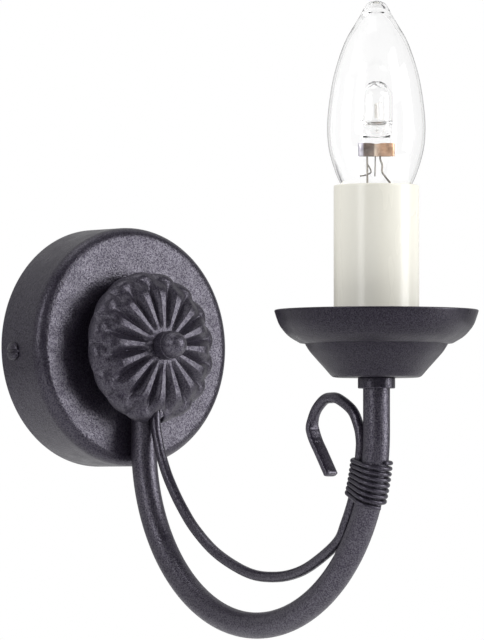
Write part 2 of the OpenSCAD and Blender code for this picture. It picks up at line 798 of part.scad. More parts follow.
// The pan's outline from its floor to its rim: a bowl, a small ledge and a wider bowl
ledge_z = 12.2;
ledge_w = 1.7;
lower_bowl = [
    [-1.4, 0], [-0.3, 0.25], [0.7, 1.1], [2.5, 3.2], [5.2, 6.2], [7.8, 9.2], [9.6, ledge_z - 0.2]
];
upper_bowl = [[0, 0], [3.2, 2.1], [5.2, 4.2], [7, 7.1], [8.5, pan_h - ledge_z]];
step_r = pan_floor_r + lower_bowl[len(lower_bowl) - 1][0] + ledge_w;
upper_stretch = (pan_r - step_r) / upper_bowl[len(upper_bowl) - 1][0];

function pan_outline(inset) = concat(
    smooth_curve([for (p = lower_bowl) [pan_floor_r + p[0] - inset, p[1] + inset * 0.7]], 4),
    smooth_curve([for (p = upper_bowl)
        [step_r + p[0] * upper_stretch - inset, ledge_z + p[1] + inset * 0.4]], 4)
);

module drip_pan() {
    floor_edge = pan_floor_r - pan_t * 0.55;
    outside = concat([[0, 0]], pan_outline(0));
    bowl = [for (p = pan_outline(pan_t)) if (p[0] > floor_edge && p[1] > pan_t) p];
    inside = concat([[0, pan_t], [floor_edge, pan_t]], bowl);
    cut = concat(inside, [[inside[len(inside) - 1][0], pan_h + 2], [0, pan_h + 2]]);
    closed = concat(outside, [[0, pan_h]]);
    color(black) on_candle() translate([0, 0, pan_bottom_z]) difference() {
        rotate_extrude() polygon(closed);
        rotate_extrude() polygon(cut);
        translate([0, 0, -1]) cylinder(d = tube_d + 2 * seat_gap, h = pan_t + 2);
    }
}

pan_nut_t = 3;
pan_nut_flats = 14;

module pan_nut() {
    color(brass) on_candle() translate([0, 0, pan_floor_z]) difference() {
        cylinder(d = pan_nut_flats / cos(30), h = pan_nut_t, $fn = 6);
        translate([0, 0, -1]) cylinder(d = tube_d + 2 * seat_gap, h = pan_nut_t + 2);
    }
}

// Lampholder: a base screwed on the tube's end and a body with the screw shell

holder_neck_d = 15;
holder_neck_len = 8;
holder_flange_h = 4;
shell_d = 15;
shell_wall = 0.4;
shell_above_contact = 2.5;
shell_below_mouth = 4;
shell_bottom_z = lamp_contact_z + shell_above_contact;
shell_top_z = holder_top_z - shell_below_mouth;
chamber_d = 21;
mouth_d = 18.6;
holder_block_x = 5;
holder_block_w = 4;
holder_block_h = 6;
holder_screw_d = 2.6;

module holder_base() {
    color(white_plastic) on_candle() difference() {
        union() {
            translate([0, 0, tube_top_z - holder_neck_len])
                cylinder(d = holder_neck_d, h = holder_neck_len);
            translate([0, 0, holder_body_z - holder_flange_h]) cylinder(d = holder_d, h = holder_flange_h);
        }
        translate([0, 0, tube_top_z - holder_neck_len - 1])
            cylinder(d = tube_d + 2 * seat_gap, h = holder_neck_len + 1);
        translate([0, 0, tube_top_z - 1]) cylinder(d = tube_bore, h = holder_flange_h + 2);
    }
}

module holder_body() {
    color(white_plastic) on_candle() difference() {
        translate([0, 0, holder_body_z]) cylinder(d = holder_d, h = holder_body_len);
        translate([0, 0, holder_body_z - 1])
            cylinder(d = chamber_d, h = shell_bottom_z - holder_body_z + 1);
        translate([0, 0, shell_bottom_z - 1]) cylinder(d = shell_d + 2 * seat_gap, h = holder_body_len);
        translate([0, 0, shell_top_z]) cylinder(d = mouth_d, h = holder_body_len);
    }
}

module holder_terminals() {
    color(brass) on_candle() for (side = [-1, 1]) difference() {
        translate([side * (holder_block_x + holder_block_w / 2) - holder_block_w / 2, -3, holder_body_z])
            cube([holder_block_w, 6, holder_block_h]);
        translate([side * (holder_block_x + holder_block_w / 2), 0, holder_body_z + holder_block_h / 2])
            rotate([90, 0, 0]) cylinder(d = holder_screw_d, h = 4);
    }
}

module holder_screws() {
    color(zinc) on_candle() for (side = [-1, 1])
        translate([side * (holder_block_x + holder_block_w / 2), -3, holder_body_z + holder_block_h / 2])
            rotate([90, 0, 0]) difference() {
                union() {
                    translate([0, 0, -2]) cylinder(d = holder_screw_d - 2 * seat_gap, h = 2);
                    cylinder(d = 4, h = 1.6);
                }
                translate([-3, -0.3, 1]) cube([6, 0.6, 1]);
            }
}

module screw_shell() {
    leg_x = shell_d / 2 - 1.5;
    color(brass) on_candle() {
        difference() {
            translate([0, 0, shell_bottom_z]) cylinder(d = shell_d, h = shell_top_z - shell_bottom_z);
            translate([0, 0, shell_bottom_z - 1])
                cylinder(d = shell_d - 2 * shell_wall, h = holder_body_len);
        }
        translate([leg_x + 0.9, -1, holder_body_z + holder_block_h])
            cube([0.5, 2, shell_bottom_z - holder_body_z - holder_block_h + 1]);
    }
}

// Sprung tongue that touches the lamp's centre contact, with a rolled root that it turns about

tongue_t = 0.4;
tongue_w = 3.6;
tongue_root_x = -holder_block_x - holder_block_w / 2;
tongue_tip_x = 1.6;
tongue_top_z = lamp_contact_z - 0.15;
tongue_foot_z = holder_body_z + holder_block_h + 0.1;
tongue_roll_d = 1.2;

module contact_tongue() {
    tip_z = tongue_top_z - tongue_t;
    slope_from_x = tongue_root_x + 1.2;
    side_view = [
        [tongue_root_x - 1.2, tongue_foot_z], [slope_from_x, tongue_foot_z],
        [-tongue_tip_x, tip_z], [tongue_tip_x, tip_z], [tongue_tip_x, tip_z + tongue_t],
        [-tongue_tip_x - 0.2, tip_z + tongue_t], [slope_from_x - 0.2, tongue_foot_z + tongue_t],
        [tongue_root_x - 1.2, tongue_foot_z + tongue_t]
    ];
    color(brass) on_candle() translate([0, tongue_w / 2, 0]) rotate([90, 0, 0]) {
        linear_extrude(tongue_w) polygon(side_view);
        translate([tongue_root_x, tongue_foot_z + tongue_roll_d / 2])
            cylinder(d = tongue_roll_d, h = tongue_w);
    }
}

// Candle sleeve: a smooth tube, slightly rounded at its mouth

module candle_sleeve() {
    r = sleeve_d / 2;
    lip = sleeve_wall / 2;
    outline = concat(
        [[r - sleeve_wall, 0], [r, 0]],
        arc_points([r - lip, sleeve_len - lip], lip, 0, 180, 8)
    );
    color(cream) on_candle() translate([0, 0, pan_floor_z]) rotate_extrude() polygon(outline);
}

// Lamp: cap, insulator, contact, stem, glass and the capsule inside

cap_thread_z = lamp_contact_z + 3;
cap_flare_z = shell_top_z + 1.5;
cap_top_z = holder_top_z + 2;
cap_flare_r = 8.7;

module lamp_cap() {
    r = cap_d / 2;
    wall = 0.5;
    outline = [
        [r - 1, cap_thread_z], [r, cap_thread_z + 1], [r, cap_flare_z], [cap_flare_r, cap_top_z - 2.5],
        [cap_flare_r, cap_top_z], [cap_flare_r - wall, cap_top_z], [cap_flare_r - wall, cap_top_z - 2.3],
        [r - wall, cap_flare_z + 0.2], [r - wall, cap_thread_z + 1.4], [r - 1 - wall, cap_thread_z + 0.6],
        [r - 1 - wall, cap_thread_z]
    ];
    color(nickel) on_candle() rotate_extrude() polygon(outline);
}

module cap_insulator() {
    r = cap_d / 2 - 1;
    outline = [
        [0, lamp_contact_z + 1], [3.4, lamp_contact_z + 1], [r - 0.5, cap_thread_z],
        [r - 0.5, cap_thread_z + 0.6], [0, cap_thread_z + 0.6]
    ];
    color("black") on_candle() rotate_extrude() polygon(outline);
}

module cap_contact() {
    top_z = lamp_contact_z + 1;
    outline = concat([[0, top_z]], [for (a = [0:15:90]) [2.6 * cos(a), top_z - sin(a)]]);
    color(zinc) on_candle() rotate_extrude() polygon(outline);
}

// Half the glass outline: radius at a height above the sleeve's mouth, for a lamp of diameter lamp_d
glass_shape = [
    [8, -6.6], [8.6, -4.6], [10.6, -2.2], [12.5, 0], [14.7, 5], [16.8, 12.3], [17.5, 19.4], [17.1, 27],
    [15.6, 37], [13.5, 44.8], [10.9, 51.7], [8, 56.8], [5.7, 60.6], [4.6, 62.7], [3.4, 64.6],
    [1.6, 65.6], [0, 65.9]
];
glass_radius_scale = lamp_d / 35;
glass_height_scale = lamp_showing / 65.9;

glass_tip_from = 60;

function glass_outline(inset) =
    smooth_curve([for (p = glass_shape)
        let (drop = p[1] > glass_tip_from ? inset * 1.6 : 0)
        [max(0, p[0] * glass_radius_scale - (p[0] > 0 ? inset : 0)),
            sleeve_top_z + (p[1] < 0 ? p[1] : p[1] * glass_height_scale) - drop]], 3);

module lamp_glass() {
    outer = glass_outline(0);
    inner = glass_outline(glass_wall);
    back_down = [for (i = [len(inner) - 1:-1:0]) inner[i]];
    color(clear) on_candle() rotate_extrude() polygon(concat(outer, back_down));
}

stem_top_z = sleeve_top_z - 3;
stem_bottom_z = sleeve_top_z - 6.6;
support_x = 2.8;
support_d = 0.8;
clip_z = sleeve_top_z + 10.4;
clip_h = 4.6;
clip_w = 13;
pinch_w = 9.6;
pinch_t = 3;
clip_wall = 0.4;
capsule_bottom_z = sleeve_top_z + 18.6;
capsule_h = 18.4;
pinch_bottom_z = clip_z + clip_wall + seat_gap;

// Turns the lamp's inner parts about the candle's axis and sets them on it
module in_lamp() on_candle() rotate([0, 0, lamp_turn]) children();

module lamp_stem() {
    outline = [
        [0, stem_bottom_z], [7, stem_bottom_z], [7, stem_bottom_z + 1], [3, stem_top_z], [0, stem_top_z]
    ];
    color(clear) in_lamp() difference() {
        rotate_extrude() polygon(outline);
        for (side = [-1, 1])
            translate([side * support_x, 0, stem_bottom_z - 1])
                cylinder(d = support_d + 2 * seat_gap, h = 8);
    }
}

module lamp_supports() {
    color(nickel) in_lamp() for (side = [-1, 1])
        translate([side * support_x, 0, stem_bottom_z]) cylinder(d = support_d, h = clip_z - stem_bottom_z);
}

module capsule_clip() {
    room = pinch_t + 2 * seat_gap;
    color([0.5, 0.38, 0.28]) in_lamp() translate([0, 0, clip_z]) difference() {
        translate([-clip_w / 2, -room / 2 - clip_wall, 0]) cube([clip_w, room + 2 * clip_wall, clip_h]);
        translate([-clip_w / 2 + clip_wall, -room / 2, clip_wall])
            cube([clip_w - 2 * clip_wall, room, clip_h]);
    }
}

module lamp_capsule() {
    r = capsule_d / 2;
    wall = 0.9;
    outer = concat(
        [[0, 0], [r - 1, 0], [r, 1.5]],
        [for (a = [0:10:90]) [r * cos(a), capsule_h - r + r * sin(a)]]
    );
    inner = concat(
        [[0, 1.6], [r - wall - 0.4, 1.6]],
        [for (a = [0:10:90]) [(r - wall) * cos(a), capsule_h - r + (r - wall) * sin(a)]]
    );
    color(clear) in_lamp() {
        translate([0, 0, capsule_bottom_z]) difference() {
            rotate_extrude() polygon(outer);
            rotate_extrude() polygon(inner);
        }
        translate([-pinch_w / 2, -pinch_t / 2, pinch_bottom_z])
            cube([pinch_w, pinch_t, capsule_bottom_z + 1 - pinch_bottom_z]);
    }
}

module filament() {
    color(zinc) in_lamp() {
        translate([0, 0, capsule_bottom_z + 1.6]) cylinder(d = 0.6, h = 4);
        translate([0, 0, capsule_bottom_z + 5.6]) cylinder(d = 1.4, h = 5);
    }
}

wall_bracket();
cable_grommet();
terminal_block();
terminal_inserts();
terminal_screws();
earth_screw();
earth_tags();
earth_wire();
wall_cover();
cover_screws();
arm_hub();
hub_washer();
hub_nut();
finial_stud();
rosette();
finial_nut();
arm_tube();
scroll_rod();
binding_wire();
live_wire();
neutral_wire();
pan_collar();
drip_pan();
pan_nut();
holder_base();
holder_body();
holder_terminals();
holder_screws();
screw_shell();
contact_tongue();
candle_sleeve();
lamp_cap();
cap_insulator();
cap_contact();
lamp_stem();
lamp_glass();
lamp_supports();
capsule_clip();
lamp_capsule();
filament();
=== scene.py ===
import math

import bpy
import numpy as np
from mathutils import Matrix, Vector


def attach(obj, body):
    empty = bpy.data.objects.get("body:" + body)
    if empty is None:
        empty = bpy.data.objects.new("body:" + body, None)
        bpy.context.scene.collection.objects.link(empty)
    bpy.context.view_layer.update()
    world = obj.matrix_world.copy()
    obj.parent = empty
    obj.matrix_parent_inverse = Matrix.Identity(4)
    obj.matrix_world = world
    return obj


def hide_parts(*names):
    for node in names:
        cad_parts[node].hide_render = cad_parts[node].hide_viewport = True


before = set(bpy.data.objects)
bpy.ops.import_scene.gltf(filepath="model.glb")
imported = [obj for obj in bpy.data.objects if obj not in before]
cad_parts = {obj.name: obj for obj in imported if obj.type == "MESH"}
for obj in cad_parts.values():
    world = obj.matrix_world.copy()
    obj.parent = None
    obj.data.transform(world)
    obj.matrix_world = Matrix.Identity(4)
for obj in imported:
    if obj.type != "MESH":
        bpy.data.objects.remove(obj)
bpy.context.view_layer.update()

# Camera
# The light was photographed from its left and a little below, from about two metres away.
# The angles and shifts come from a fit to the outlines of the cover, the arm, the pan and the lamp.
camera_azimuth = math.radians(-38.16)
camera_elevation = math.radians(-1.893)
camera_distance = 2.0
camera_across = 0.05507735
camera_up = 0.01076887
focal_pixels = 5258.92
picture_height = 640
sensor_width = 36

camera_right = Vector((math.cos(camera_azimuth), math.sin(camera_azimuth), 0))
camera_back = Vector((
    math.sin(camera_azimuth) * math.cos(camera_elevation),
    -math.cos(camera_azimuth) * math.cos(camera_elevation),
    math.sin(camera_elevation),
))
camera_top = camera_back.cross(camera_right)
camera_place = camera_across * camera_right + camera_up * camera_top + camera_distance * camera_back
camera = bpy.data.objects.new("camera", bpy.data.cameras.new("camera"))
camera.data.sensor_width = sensor_width
camera.data.lens = focal_pixels * sensor_width / picture_height
camera.matrix_world = Matrix.Translation(camera_place) @ Matrix(
    (camera_right, camera_top, camera_back)
).transposed().to_4x4()
bpy.context.scene.collection.objects.link(camera)
bpy.context.scene.camera = camera
bpy.context.scene.view_settings.view_transform = "Standard"


# Studio
# A plain pale floor well below the light, a white room behind it and a dim one on the camera's side.
# Two soft boxes in front make the sheen on the cover's face, and others fill in from the left and above.
def add_node(tree, kind, settings=None, links=None):
    """One shader node. Settings are socket values or properties by name, links are outputs by socket."""
    node = tree.nodes.new(kind)
    for name, value in (settings or {}).items():
        if name in node.inputs:
            node.inputs[name].default_value = value
        else:
            setattr(node, name, value)
    for name, output in (links or {}).items():
        tree.links.new(output, node.inputs[name])
    return node


def object_place(tree):
    return add_node(tree, "ShaderNodeTexCoord").outputs["Object"]


def combined(tree, operation, first, second):
    """A Math node's result. The second value is an output or a number."""
    node = add_node(tree, "ShaderNodeMath", {"operation": operation})
    tree.links.new(first, node.inputs[0])
    if isinstance(second, float):
        node.inputs[1].default_value = second
    else:
        tree.links.new(second, node.inputs[1])
    return node.outputs["Value"]


def ranged(tree, value, low, high, to_low=0.0, to_high=1.0, curve="LINEAR"):
    """A value carried from low..high to to_low..to_high and held at both ends."""
    settings = {
        "interpolation_type": curve, "From Min": low, "From Max": high, "To Min": to_low, "To Max": to_high
    }
    return add_node(tree, "ShaderNodeMapRange", settings, {"Value": value}).outputs["Result"]


def noise(tree, place, scale, detail):
    """Noise from 0 to 1 over a place, with scale grains to each of the place's units."""
    node = add_node(tree, "ShaderNodeTexNoise", {"Scale": scale, "Detail": detail}, {"Vector": place})
    return node.outputs["Fac"]


def mark_of(tree, label):
    """The mark that a mesh carries under a label."""
    return add_node(tree, "ShaderNodeAttribute", {"attribute_name": label}).outputs["Fac"]


def blend_colours(tree, share, first, second):
    """first + (second - first) * share, as colours. Either colour is an output or four numbers."""
    mix = add_node(tree, "ShaderNodeMix", {"data_type": "RGBA"})
    tree.links.new(share, mix.inputs[0])
    for socket, colour in ((mix.inputs[6], first), (mix.inputs[7], second)):
        if isinstance(colour, tuple):
            socket.default_value = colour
        else:
            tree.links.new(colour, socket)
    return mix.outputs[2]


def new_material(name, metallic=0.0, roughness=0.5):
    """A material with a Principled shader, whose constant numbers stand on its own sockets."""
    material = bpy.data.materials.new(name)
    material.use_nodes = True
    tree = material.node_tree
    shader = tree.nodes["Principled BSDF"]
    shader.inputs["Metallic"].default_value = metallic
    shader.inputs["Roughness"].default_value = roughness
    return material, tree, shader


def add_bump(tree, shader, height, strength, distance):
    """Bends the shader's normal by a height, at most by the distance in metres."""
    bump = add_node(
        tree, "ShaderNodeBump", {"Strength": strength, "Distance": distance}, {"Height": height}
    )
    tree.links.new(bump.outputs["Normal"], shader.inputs["Normal"])


def white_room():
    """Strength 1 for what the camera sees and what shines through glass. All else is lit by a room that is
    dim in front of the wall plane and light behind it, a step in the direction's y, and that falls off
    downwards, a ramp in its z. Gloss sees it darker than matt surfaces do."""
    gloss_levels = (0.05, 0.55)
    matt_levels = (0.3, 1.1)
    step_half = 0.2
    floor_direction, wall_direction = -0.6, 0.1
    below = 0.3
    world = bpy.data.worlds.new("white_room")
    world.use_nodes = True
    tree = world.node_tree
    tree.nodes.clear()
    rays = add_node(tree, "ShaderNodeLightPath")
    direction = add_node(tree, "ShaderNodeTexCoord").outputs["Generated"]
    parts = add_node(tree, "ShaderNodeSeparateXYZ", links={"Vector": direction})
    matt_room, gloss_room = (
        ranged(tree, parts.outputs["Y"], -step_half, step_half, dim, light, "SMOOTHSTEP")
        for dim, light in (matt_levels, gloss_levels)
    )
    falloff = ranged(tree, parts.outputs["Z"], floor_direction, wall_direction, below)
    level = add_node(
        tree, "ShaderNodeMix", {"data_type": "FLOAT"},
        {"Factor": rays.outputs["Is Glossy Ray"], "A": matt_room, "B": gloss_room},
    )
    shaded = combined(tree, "MULTIPLY", level.outputs["Result"], falloff)
    seen = combined(tree, "MAXIMUM", rays.outputs["Is Camera Ray"], rays.outputs["Is Transmission Ray"])
    strength = add_node(
        tree, "ShaderNodeMix", {"data_type": "FLOAT", "B": 1.0}, {"Factor": seen, "A": shaded}
    )
    background = add_node(
        tree, "ShaderNodeBackground", {"Color": (1, 1, 1, 1)}, {"Strength": strength.outputs["Result"]}
    )
    add_node(tree, "ShaderNodeOutputWorld", links={"Surface": background.outputs["Background"]})
    return world


light_middle = Vector((0, -0.09, 0))


def soft_box(name, direction, distance, width, height, brightness):
    """An area lamp that faces the light's middle. Its power is brightness * pi * width * height."""
    lamp = bpy.data.lights.new(name, "AREA")
    lamp.shape = "RECTANGLE"
    lamp.size = width
    lamp.size_y = height
    lamp.energy = brightness * math.pi * width * height
    box = bpy.data.objects.new(name, lamp)
    towards = Vector(direction).normalized()
    box.matrix_world = Matrix.Translation(light_middle + towards * distance) @ (
        towards.to_track_quat("Z", "Y").to_matrix().to_4x4()
    )
    bpy.context.scene.collection.objects.link(box)


def pale_paper():
    """Pale floor paper: a slow, faint change of tone over half a metre."""
    material, tree, shader = new_material("pale_paper", roughness=0.9)
    cloud = noise(tree, object_place(tree), 2.0, 2.0)
    tone = blend_colours(tree, cloud, (0.84, 0.84, 0.84, 1), (0.88, 0.88, 0.88, 1))
    tree.links.new(tone, shader.inputs["Base Color"])
    return material


bpy.context.scene.world = white_room()
soft_box("key_box", (0.25, -0.83, 0.5), 1.3, 0.5, 0.5, 5.0)
soft_box("right_box", (0.66, -0.75, 0.16), 1.3, 0.6, 1.0, 6.6)
soft_box("left_box", (-0.95, -0.2, 0.35), 1.3, 0.4, 0.9, 4.4)
soft_box("top_box", (-0.1, 0.1, 1.0), 1.2, 0.7, 0.5, 1.6)

floor_level = -0.25
floor_half = 0.8
floor_mesh = bpy.data.meshes.new("floor")
floor_middle_y = -0.1
floor_sides = (-floor_half, floor_half)
floor_mesh.from_pydata(
    [(x, floor_middle_y + y, floor_level) for x in floor_sides for y in floor_sides], [], [(0, 2, 3, 1)]
)
floor_mesh.materials.append(pale_paper())
floor = bpy.data.objects.new("floor", floor_mesh)
bpy.context.scene.collection.objects.link(floor)


# Wall bracket and grommet
# A steel plate with two bent ears holds the light on the wall, and a rubber grommet lines its cable hole.
# The plate is punched and bent from zinc-plated sheet, so its edges are a little rounded and it is cloudy.
def add_group(tree, shared, place, scale):
    """One use of a shared node group. Gives its outputs."""
    node = tree.nodes.new("ShaderNodeGroup")
    node.node_tree = shared
    node.inputs["Scale"].default_value = scale
    tree.links.new(place, node.inputs["Place"])
    return node.outputs


def new_group(name, outputs):
    """An empty shared group. Gives it with the outputs of its two inputs, a Place and a Scale."""
    group = bpy.data.node_groups.new(name, "ShaderNodeTree")
    group.interface.new_socket("Place", in_out="INPUT", socket_type="NodeSocketVector")
    group.interface.new_socket("Scale", in_out="INPUT", socket_type="NodeSocketFloat")
    for label in outputs:
        group.interface.new_socket(label, in_out="OUTPUT", socket_type="NodeSocketFloat")
    given = add_node(group, "NodeGroupInput")
    return group, given.outputs["Place"], given.outputs["Scale"]


def cloudy_group():
    """Cloud: slow noise from 0 to 1. Scratch: fine noise stretched along x. Height: both together."""
    group, place, scale = new_group("cloudy_metal", ("Cloud", "Scratch", "Height"))
    cloud = add_node(
        group, "ShaderNodeTexNoise", {"Detail": 3.0, "Roughness": 0.55}, {"Vector": place, "Scale": scale}
    ).outputs["Fac"]
    stretch = add_node(group, "ShaderNodeMapping", {"Scale": (60, 2600, 2600)}, {"Vector": place})
    scratch = noise(group, stretch.outputs["Vector"], 1.0, 2.0)
    add_node(group, "NodeGroupOutput", links={
        "Cloud": ranged(group, cloud, 0.3, 0.7),
        "Scratch": scratch,
        "Height": combined(group, "ADD", cloud, scratch),
    })
    return group


cloudy_metal = cloudy_group()


def metal(name, bright, dull, smooth=0.28, rough=0.46, cloud_scale=220.0, dent=0.00002):
    """A bare metal: its colour and its roughness go from bright to dull with the clouds on it."""
    material, tree, shader = new_material(name, metallic=1.0)
    clouds = add_group(tree, cloudy_metal, object_place(tree), cloud_scale)
    tree.links.new(blend_colours(tree, clouds["Cloud"], bright, dull), shader.inputs["Base Color"])
    tree.links.new(ranged(tree, clouds["Scratch"], 0.3, 0.7, smooth, rough), shader.inputs["Roughness"])
    add_bump(tree, shader, clouds["Height"], 0.4, dent)
    return material


def soften_node(node, body, material, edge):
    """A copy of a CAD node, its triangles merged and its edges rounded, that stands for the node."""
    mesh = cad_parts[node].data.copy()
    mesh.materials.clear()
    mesh.materials.append(material)
    piece = bpy.data.objects.new(node + "_finished", mesh)
    bpy.context.scene.collection.objects.link(piece)
    weld = piece.modifiers.new("weld", "WELD")
    weld.merge_threshold = 0.000002
    flat = piece.modifiers.new("flat", "DECIMATE")
    flat.decimate_type = "DISSOLVE"
    flat.angle_limit = math.radians(1.5)
    rounding = piece.modifiers.new("rounding", "BEVEL")
    rounding.width = edge
    rounding.segments = 2
    rounding.limit_method = "ANGLE"
    rounding.angle_limit = math.radians(40)
    applied = bpy.data.meshes.new_from_object(piece.evaluated_get(bpy.context.evaluated_depsgraph_get()))
    piece.modifiers.clear()
    piece.data = applied
    applied.polygons.foreach_set("use_smooth", np.ones(len(applied.polygons), bool))
    applied.set_sharp_from_angle(angle=math.radians(35))
    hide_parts(node)
    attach(piece, body)


def matt_plastic(name, colour, darker, roughness):
    """A moulded plastic or rubber: the colour drifts slowly and the skin has a faint orange peel."""
    material, tree, shader = new_material(name, roughness=roughness)
    place = object_place(tree)
    drift = ranged(tree, noise(tree, place, 260.0, 2.0), 0.35, 0.65)
    tree.links.new(blend_colours(tree, drift, colour, darker), shader.inputs["Base Color"])
    add_bump(tree, shader, noise(tree, place, 1400.0, 1.0), 0.25, 0.00003)
    return material


zinc_plate = metal("zinc_plate", (0.56, 0.57, 0.58, 1), (0.42, 0.43, 0.46, 1), smooth=0.3, rough=0.5)
black_rubber = matt_plastic("black_rubber", (0.02, 0.02, 0.02, 1), (0.035, 0.034, 0.033, 1), 0.6)
soften_node("wall_bracket", "fixture", zinc_plate, 0.00025)
soften_node("cable_grommet", "fixture", black_rubber, 0.0003)


# Terminal block
# A white nylon block of three ways with brass tubes and plated screws joins the house wires to the light.
# The block is moulded and screwed flat on the bracket; tubes and screws are turned.
white_nylon = matt_plastic("white_nylon", (0.74, 0.74, 0.7, 1), (0.66, 0.66, 0.62, 1), 0.4)
turned_brass = metal("turned_brass", (0.72, 0.5, 0.2, 1), (0.5, 0.34, 0.13, 1), smooth=0.22, rough=0.42)
screw_steel = metal("screw_steel", (0.6, 0.6, 0.6, 1), (0.45, 0.45, 0.47, 1), smooth=0.25, rough=0.45)
soften_node("terminal_block", "fixture", white_nylon, 0.0004)
soften_node("terminal_inserts", "fixture", turned_brass, 0.00012)
soften_node("terminal_screws", "fixture", screw_steel, 0.00012)


# Earth screw, tags and wire
# A brass screw and two crimped ring tags earth the bracket and the hub through a green and yellow wire.
# The tags are stamped from sheet; the wire hangs in a loose loop between their barrels.
mm = 0.001


def places_of(x, y, z):
    """Points from their three parts, each stretched to the one shape that fits them all."""
    return np.stack(np.broadcast_arrays(x, y, z), axis=-1)


def round_angles(count):
    """A full turn in equal steps."""
    return np.linspace(0, 2 * np.pi, count, endpoint=False)


def eased(value):
    """3 s^2 - 2 s^3, where s is the value held between 0 and 1."""
    share = np.clip(value, 0, 1)
    return share * share * (3 - 2 * share)


def skin(name, node, points, body, material, closed_along=False, sharp=35.0, marks=None):
    """The surface over a grid of points in mm, that stands for a CAD node: row i runs along the piece,
    column j round it.

    Columns join into a ring, and rows too where closed_along is true. Points that coincide become one,
    which closes seams and poles, and a face with two equal corners becomes a triangle or nothing.
    Where the volume, the sum of a . (b x c) / 6 over the triangles, is negative, all faces turn over."""
    rows, columns = points.shape[:2]
    flat = points.reshape(-1, 3)
    _, first, number = np.unique(
        np.round(flat * 1e4).astype(np.int64), axis=0, return_index=True, return_inverse=True
    )
    places = flat[first]
    number = number.reshape(rows, columns)
    if closed_along:
        number = np.concatenate([number, number[:1]])
    beside = np.roll(number, -1, axis=1)
    corners = np.stack([number[:-1], beside[:-1], beside[1:], number[1:]], axis=-1).reshape(-1, 4)
    same = corners == np.roll(corners, -1, axis=1)
    quads = corners[same.sum(1) == 0]
    once = corners[same.sum(1) == 1]
    order = (np.argmax(once == np.roll(once, -1, axis=1), axis=1)[:, None] + np.array([1, 2, 3])) % 4
    triangles = np.take_along_axis(once, order, axis=1)
    halves = np.concatenate([quads[:, [0, 1, 2]], quads[:, [0, 2, 3]], triangles])
    a, b, c = places[halves[:, 0]], places[halves[:, 1]], places[halves[:, 2]]
    if (a * np.cross(b, c)).sum() < 0:
        quads = quads[:, ::-1]
        triangles = triangles[:, ::-1]
    mesh = bpy.data.meshes.new(name)
    mesh.from_pydata((places * mm).tolist(), [], quads.tolist() + triangles.tolist())
    mesh.polygons.foreach_set("use_smooth", np.ones(len(mesh.polygons), bool))
    mesh.set_sharp_from_angle(angle=math.radians(sharp))
    for label, values in (marks or {}).items():
        mark = mesh.attributes.new(label, "FLOAT", "POINT")
        mark.data.foreach_set("value", np.broadcast_to(values, (rows, columns)).reshape(-1)[first])
    mesh.materials.append(material)
    piece = bpy.data.objects.new(name, mesh)
    bpy.context.scene.collection.objects.link(piece)
    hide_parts(node)
    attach(piece, body)
    return piece


def directions(path):
    """Unit vectors along a path: the difference of each point's neighbours, over its length."""
    run = np.gradient(path, axis=0)
    return run / np.linalg.norm(run, axis=1)[:, None]


def lengths_along(path):
    """The length of a path from its start up to each of its points."""
    return np.concatenate([[0], np.cumsum(np.linalg.norm(np.diff(path, axis=0), axis=1))])


def capped(rings, start, end):
    """Rings with one more at each end, drawn together in a point, that closes the piece."""
    return np.concatenate([np.broadcast_to(start, rings[:1].shape), rings,
                           np.broadcast_to(end, rings[:1].shape)])


def smooth_line(points, steps):
    """Catmull-Rom curve: 0.5 (2b + (c - a) t + (2a - 5b + 4c - d) t^2 + (3b - a - 3c + d) t^3)."""
    p = np.asarray(points, float)
    p = np.concatenate([p[:1], p, p[-1:]])
    a, b, c, d = (p[i:len(p) - 3 + i, None] for i in range(4))
    t = (np.arange(steps) / steps)[None, :, None]
    curve = 0.5 * (2 * b + (c - a) * t + (2 * a - 5 * b + 4 * c - d) * t ** 2
                   + (3 * b - a - 3 * c + d) * t ** 3)
    return np.concatenate([curve.reshape(-1, p.shape[1]), p[-1:]])


def tube_skin(path, radius, around, side):
    """Rings round a path: path + radius (across cos a + through sin a). Across is the side vector made
    square to the path and carried along it; both ends close in their middle."""
    along = directions(path)
    across = np.empty_like(path)
    carried = np.asarray(side, float)
    for i, heading in enumerate(along):
        carried = carried - (carried @ heading) * heading
        carried = carried / np.linalg.norm(carried)
        across[i] = carried
    through = np.cross(along, across)
    angle = round_angles(around)[:, None]
    rings = path[:, None] + radius * (across[:, None] * np.cos(angle) + through[:, None] * np.sin(angle))
    return capped(rings, path[0], path[-1])


def wire_cover(name, colour, stripe=None):
    """A wire's soft plastic cover: one colour that fades a little in places, and a stripe of a second one
    where the mark 'spiral' is high."""
    material, tree, shader = new_material(name, roughness=0.42)
    drift = noise(tree, object_place(tree), 500.0, 2.0)
    faded = tuple(0.7 * part for part in colour[:3]) + (1,)
    base = blend_colours(tree, ranged(tree, drift, 0.35, 0.65), colour, faded)
    if stripe:
        base = blend_colours(tree, ranged(tree, mark_of(tree, "spiral"), 0.42, 0.48), base, stripe)
    tree.links.new(base, shader.inputs["Base Color"])
    add_bump(tree, shader, drift, 0.2, 0.00003)
    return material


def spiral_marks(path, around, turn_length):
    """0.5 + 0.5 cos(angle - 2 pi run / turn_length), where run is the length of wire up to each ring."""
    run = lengths_along(path)
    run = np.concatenate([run[:1], run, run[-1:]])[:, None]
    return 0.5 + 0.5 * np.cos(round_angles(around) - 2 * np.pi * run / turn_length)


